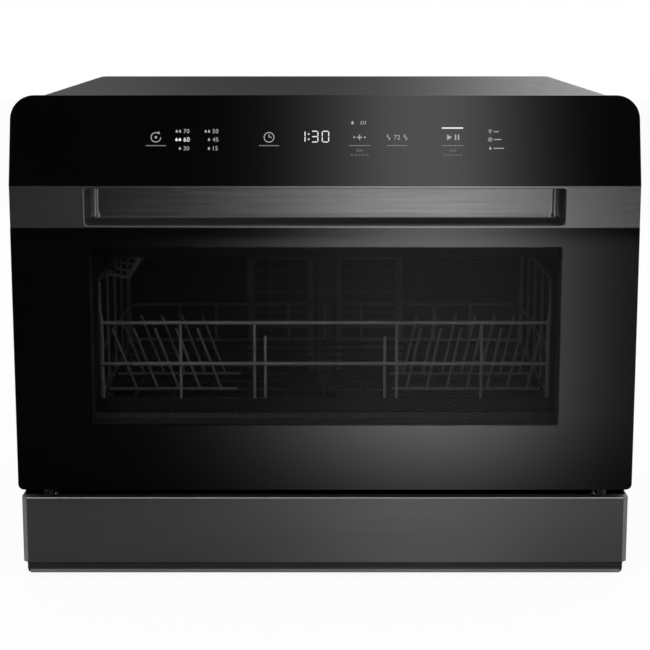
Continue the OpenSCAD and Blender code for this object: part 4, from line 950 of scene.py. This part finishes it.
def lay_floor(studio):
    """Pale floor that takes shadows and looks nearly as white as the background."""
    half, white_share = 8.0, 0.94
    floor = Finish("pale_floor", studio.floor, 0.9, Specular_IOR_Level=0.0)
    glow = floor.nodes.new("ShaderNodeEmission")
    glow.inputs["Color"].default_value = (1.0, 1.0, 1.0, 1.0)
    glow.inputs["Strength"].default_value = 1.0
    share = floor.maths("MULTIPLY", floor.background_rays(), white_share)
    floor.blended(share, floor.shader.outputs["BSDF"], glow.outputs["Emission"],
                  "Material Output")
    bm = bmesh.new()
    bmesh.ops.create_grid(bm, x_segments=1, y_segments=1, size=half)
    add_object(bm, "studio_floor", floor.material)


def soft_lamp(name, place, target, size, power):
    """Area lamp that lights the machine and shows in no reflection."""
    lamp = bpy.data.lights.new(name, "AREA")
    lamp.shape = "RECTANGLE"
    lamp.size, lamp.size_y = size
    lamp.energy = power
    holder = bpy.data.objects.new(name, lamp)
    bpy.context.scene.collection.objects.link(holder)
    holder.location = place
    holder.rotation_euler = (Vector(target) - Vector(place)).to_track_quat("-Z", "Y").to_euler()
    holder.visible_glossy = False
    holder.visible_camera = False


def falloff(*panels):
    """Stops of light across the front from soft panels.

    Each panel has a middle, a width to its left and to its right, and a brightness.
    """
    count = 13
    stops = []
    for k in range(count):
        x = HALF_WIDTH * (2 * k / (count - 1) - 1)
        level = 0.0
        for middle, left, right, bright in panels:
            width = left if x < middle else right
            level += bright * math.exp(-0.5 * ((x - middle) / width) ** 2)
        stops.append((x, level))
    return stops


class Card(Shading):
    """Glowing rectangle between two corners that only reflections see.

    The stops give its light for places across the front of the machine, in metres from
    the middle.
    """

    def __init__(self, name, low, high, upright):
        self.paint = bpy.data.materials.new(name)
        super().__init__(self.paint)
        self.nodes.remove(self.nodes["Principled BSDF"])
        self.glow = self.nodes.new("ShaderNodeEmission")
        self.links.new(self.glow.outputs["Emission"],
                       self.nodes["Material Output"].inputs["Surface"])
        split = self.nodes.new("ShaderNodeSeparateXYZ")
        self.links.new(self.nodes.new("ShaderNodeTexCoord").outputs["Object"], split.inputs[0])
        self.x, self.y = split.outputs["X"], split.outputs["Y"]
        self.middle = [(a + b) / 2 for a, b in zip(low, high)]
        half = [(b - a) / 2 for a, b in zip(low, high)]
        turn = Matrix.Rotation(math.pi / 2, 4, "X") if upright else Matrix.Identity(4)
        bm = bmesh.new()
        bmesh.ops.create_grid(
            bm, x_segments=1, y_segments=1, size=1.0,
            matrix=Matrix.Translation(self.middle) @ turn
            @ Matrix.Diagonal((half[0], half[2] if upright else half[1], 1.0, 1.0)))
        card = add_object(bm, name, self.paint)
        card.visible_camera = False
        card.visible_diffuse = False
        card.visible_transmission = False
        card.visible_shadow = False

    def light(self, place, stops):
        """Lights the card by stops, where place runs from 0 to 1 across the front."""
        ramp = self.nodes.new("ShaderNodeValToRGB")
        ramp.color_ramp.interpolation = "B_SPLINE"
        self.links.new(place, ramp.inputs["Fac"])
        elements = ramp.color_ramp.elements
        while len(elements) < len(stops):
            elements.new(0.5)
        for element, (x, level) in zip(elements, stops):
            element.position = x / (2 * HALF_WIDTH) + 0.5
            element.color = (level, level, level, 1.0)
        self.links.new(ramp.outputs["Color"], self.glow.inputs["Color"])


def back_card(studio, low, high, stops):
    """Card behind the machine, for its flat top."""
    card = Card("back_card", low, high, True)
    reach = studio.camera_distance
    edge = HALF_WIDTH * (reach + card.middle[1] - GLASS_LOW.y) / reach
    card.light(card.ranged(card.x, 0.0, 1.0, -edge, edge), stops)


def door_card(studio, name, low, high, upright, stops, gain):
    """Card in front of the machine, which the upright door reflects towards the camera."""
    card = Card(name, low, high, upright)
    reach = studio.camera_distance
    spread = card.maths("SUBTRACT", reach + GLASS_LOW.y, card.y)
    across = card.maths("DIVIDE", card.maths("MULTIPLY", card.x, reach), spread)
    share = card.maths("MULTIPLY", across, 1 / (2 * HALF_WIDTH))
    card.light(card.maths("ADD", share, 0.5, clamp=True), stops)
    # Dim near the door, and dark for rays that have passed through its window
    near, far, dimmed = 0.15, 0.75, 0.15
    away = card.maths("SUBTRACT", GLASS_LOW.y, card.y)
    fade = card.ranged(away, dimmed, 1.0, near, far, "SMOOTHSTEP")
    through = card.nodes.new("ShaderNodeLightPath").outputs["Transparent Depth"]
    direct = card.maths("SUBTRACT", 1.0, through, clamp=True)
    strength = card.maths("MULTIPLY", card.maths("MULTIPLY", fade, gain), direct)
    card.links.new(strength, card.glow.inputs["Strength"])


class DISHWASHER_OT_studio(bpy.types.Operator):
    """Sets up the camera, the floor, the lamps and the reflected cards"""

    bl_idname = "dishwasher.studio"
    bl_label = "Set Up Studio"

    def execute(self, context):
        scene = context.scene
        studio = scene.dishwasher_studio
        scene.view_settings.view_transform = "Standard"
        aim_camera(studio)
        light_world(studio)
        lay_floor(studio)
        power = studio.lamp_power
        target = (0.0, 0.0, 0.2)
        soft_lamp("key_lamp", (-1.6, -2.2, 2.3), target, (1.6, 1.6), power)
        soft_lamp("fill_lamp", (1.9, -1.9, 1.7), target, (1.8, 1.8), power)
        soft_lamp("back_lamp", (0.2, 2.2, 2.4), target, (2.2, 1.4), power * 0.8)
        door_card(studio, "floor_card", (-2.6, -2.6, 0.004), (2.6, -0.2385, 0.004), False,
                  falloff((0.1, 0.085, 0.07, 1.0)), gain=2.6)
        door_card(studio, "front_card", (-2.6, -2.6, 0.0), (2.6, -2.6, 2.8), True,
                  falloff((0.1, 0.06, 0.05, 1.0)), gain=2.2)
        back_card(studio, (-3.0, 2.4, 0.0), (3.0, 2.4, 2.2),
                  falloff((-0.27, 0.1, 0.1, 0.2), (0.25, 0.09, 0.1, 1.0)))
        return {"FINISHED"}


class DISHWASHER_PT_panel(bpy.types.Panel):
    """Lists the steps that dress the dishwasher"""

    bl_label = "Countertop Dishwasher"
    bl_idname = "DISHWASHER_PT_panel"
    bl_space_type = "VIEW_3D"
    bl_region_type = "UI"
    bl_category = "Dishwasher"

    def draw(self, context):
        layout = self.layout
        for group in (context.scene.dishwasher_finishes, context.scene.dishwasher_panel,
                      context.scene.dishwasher_studio):
            box = layout.box()
            for name in group.__annotations__:
                box.prop(group, name)
        for step in STEPS:
            layout.operator(step.bl_idname)


SETTINGS = (DishwasherFinishes, DishwasherPanelSizes, DishwasherStudio)
STEPS = (DISHWASHER_OT_finishes, DISHWASHER_OT_handle_scoop, DISHWASHER_OT_panel_marks,
         DISHWASHER_OT_trims, DISHWASHER_OT_studio)


def register():
    for cls in (*SETTINGS, *STEPS, DISHWASHER_PT_panel):
        bpy.utils.register_class(cls)
    bpy.types.Scene.dishwasher_finishes = PointerProperty(type=DishwasherFinishes)
    bpy.types.Scene.dishwasher_panel = PointerProperty(type=DishwasherPanelSizes)
    bpy.types.Scene.dishwasher_studio = PointerProperty(type=DishwasherStudio)


def unregister():
    del bpy.types.Scene.dishwasher_studio
    del bpy.types.Scene.dishwasher_panel
    del bpy.types.Scene.dishwasher_finishes
    for cls in reversed((*SETTINGS, *STEPS, DISHWASHER_PT_panel)):
        bpy.utils.unregister_class(cls)


def main():
    register()
    for step in STEPS:
        group, name = step.bl_idname.split(".")
        getattr(getattr(bpy.ops, group), name)()


if __name__ == "__main__":
    main()
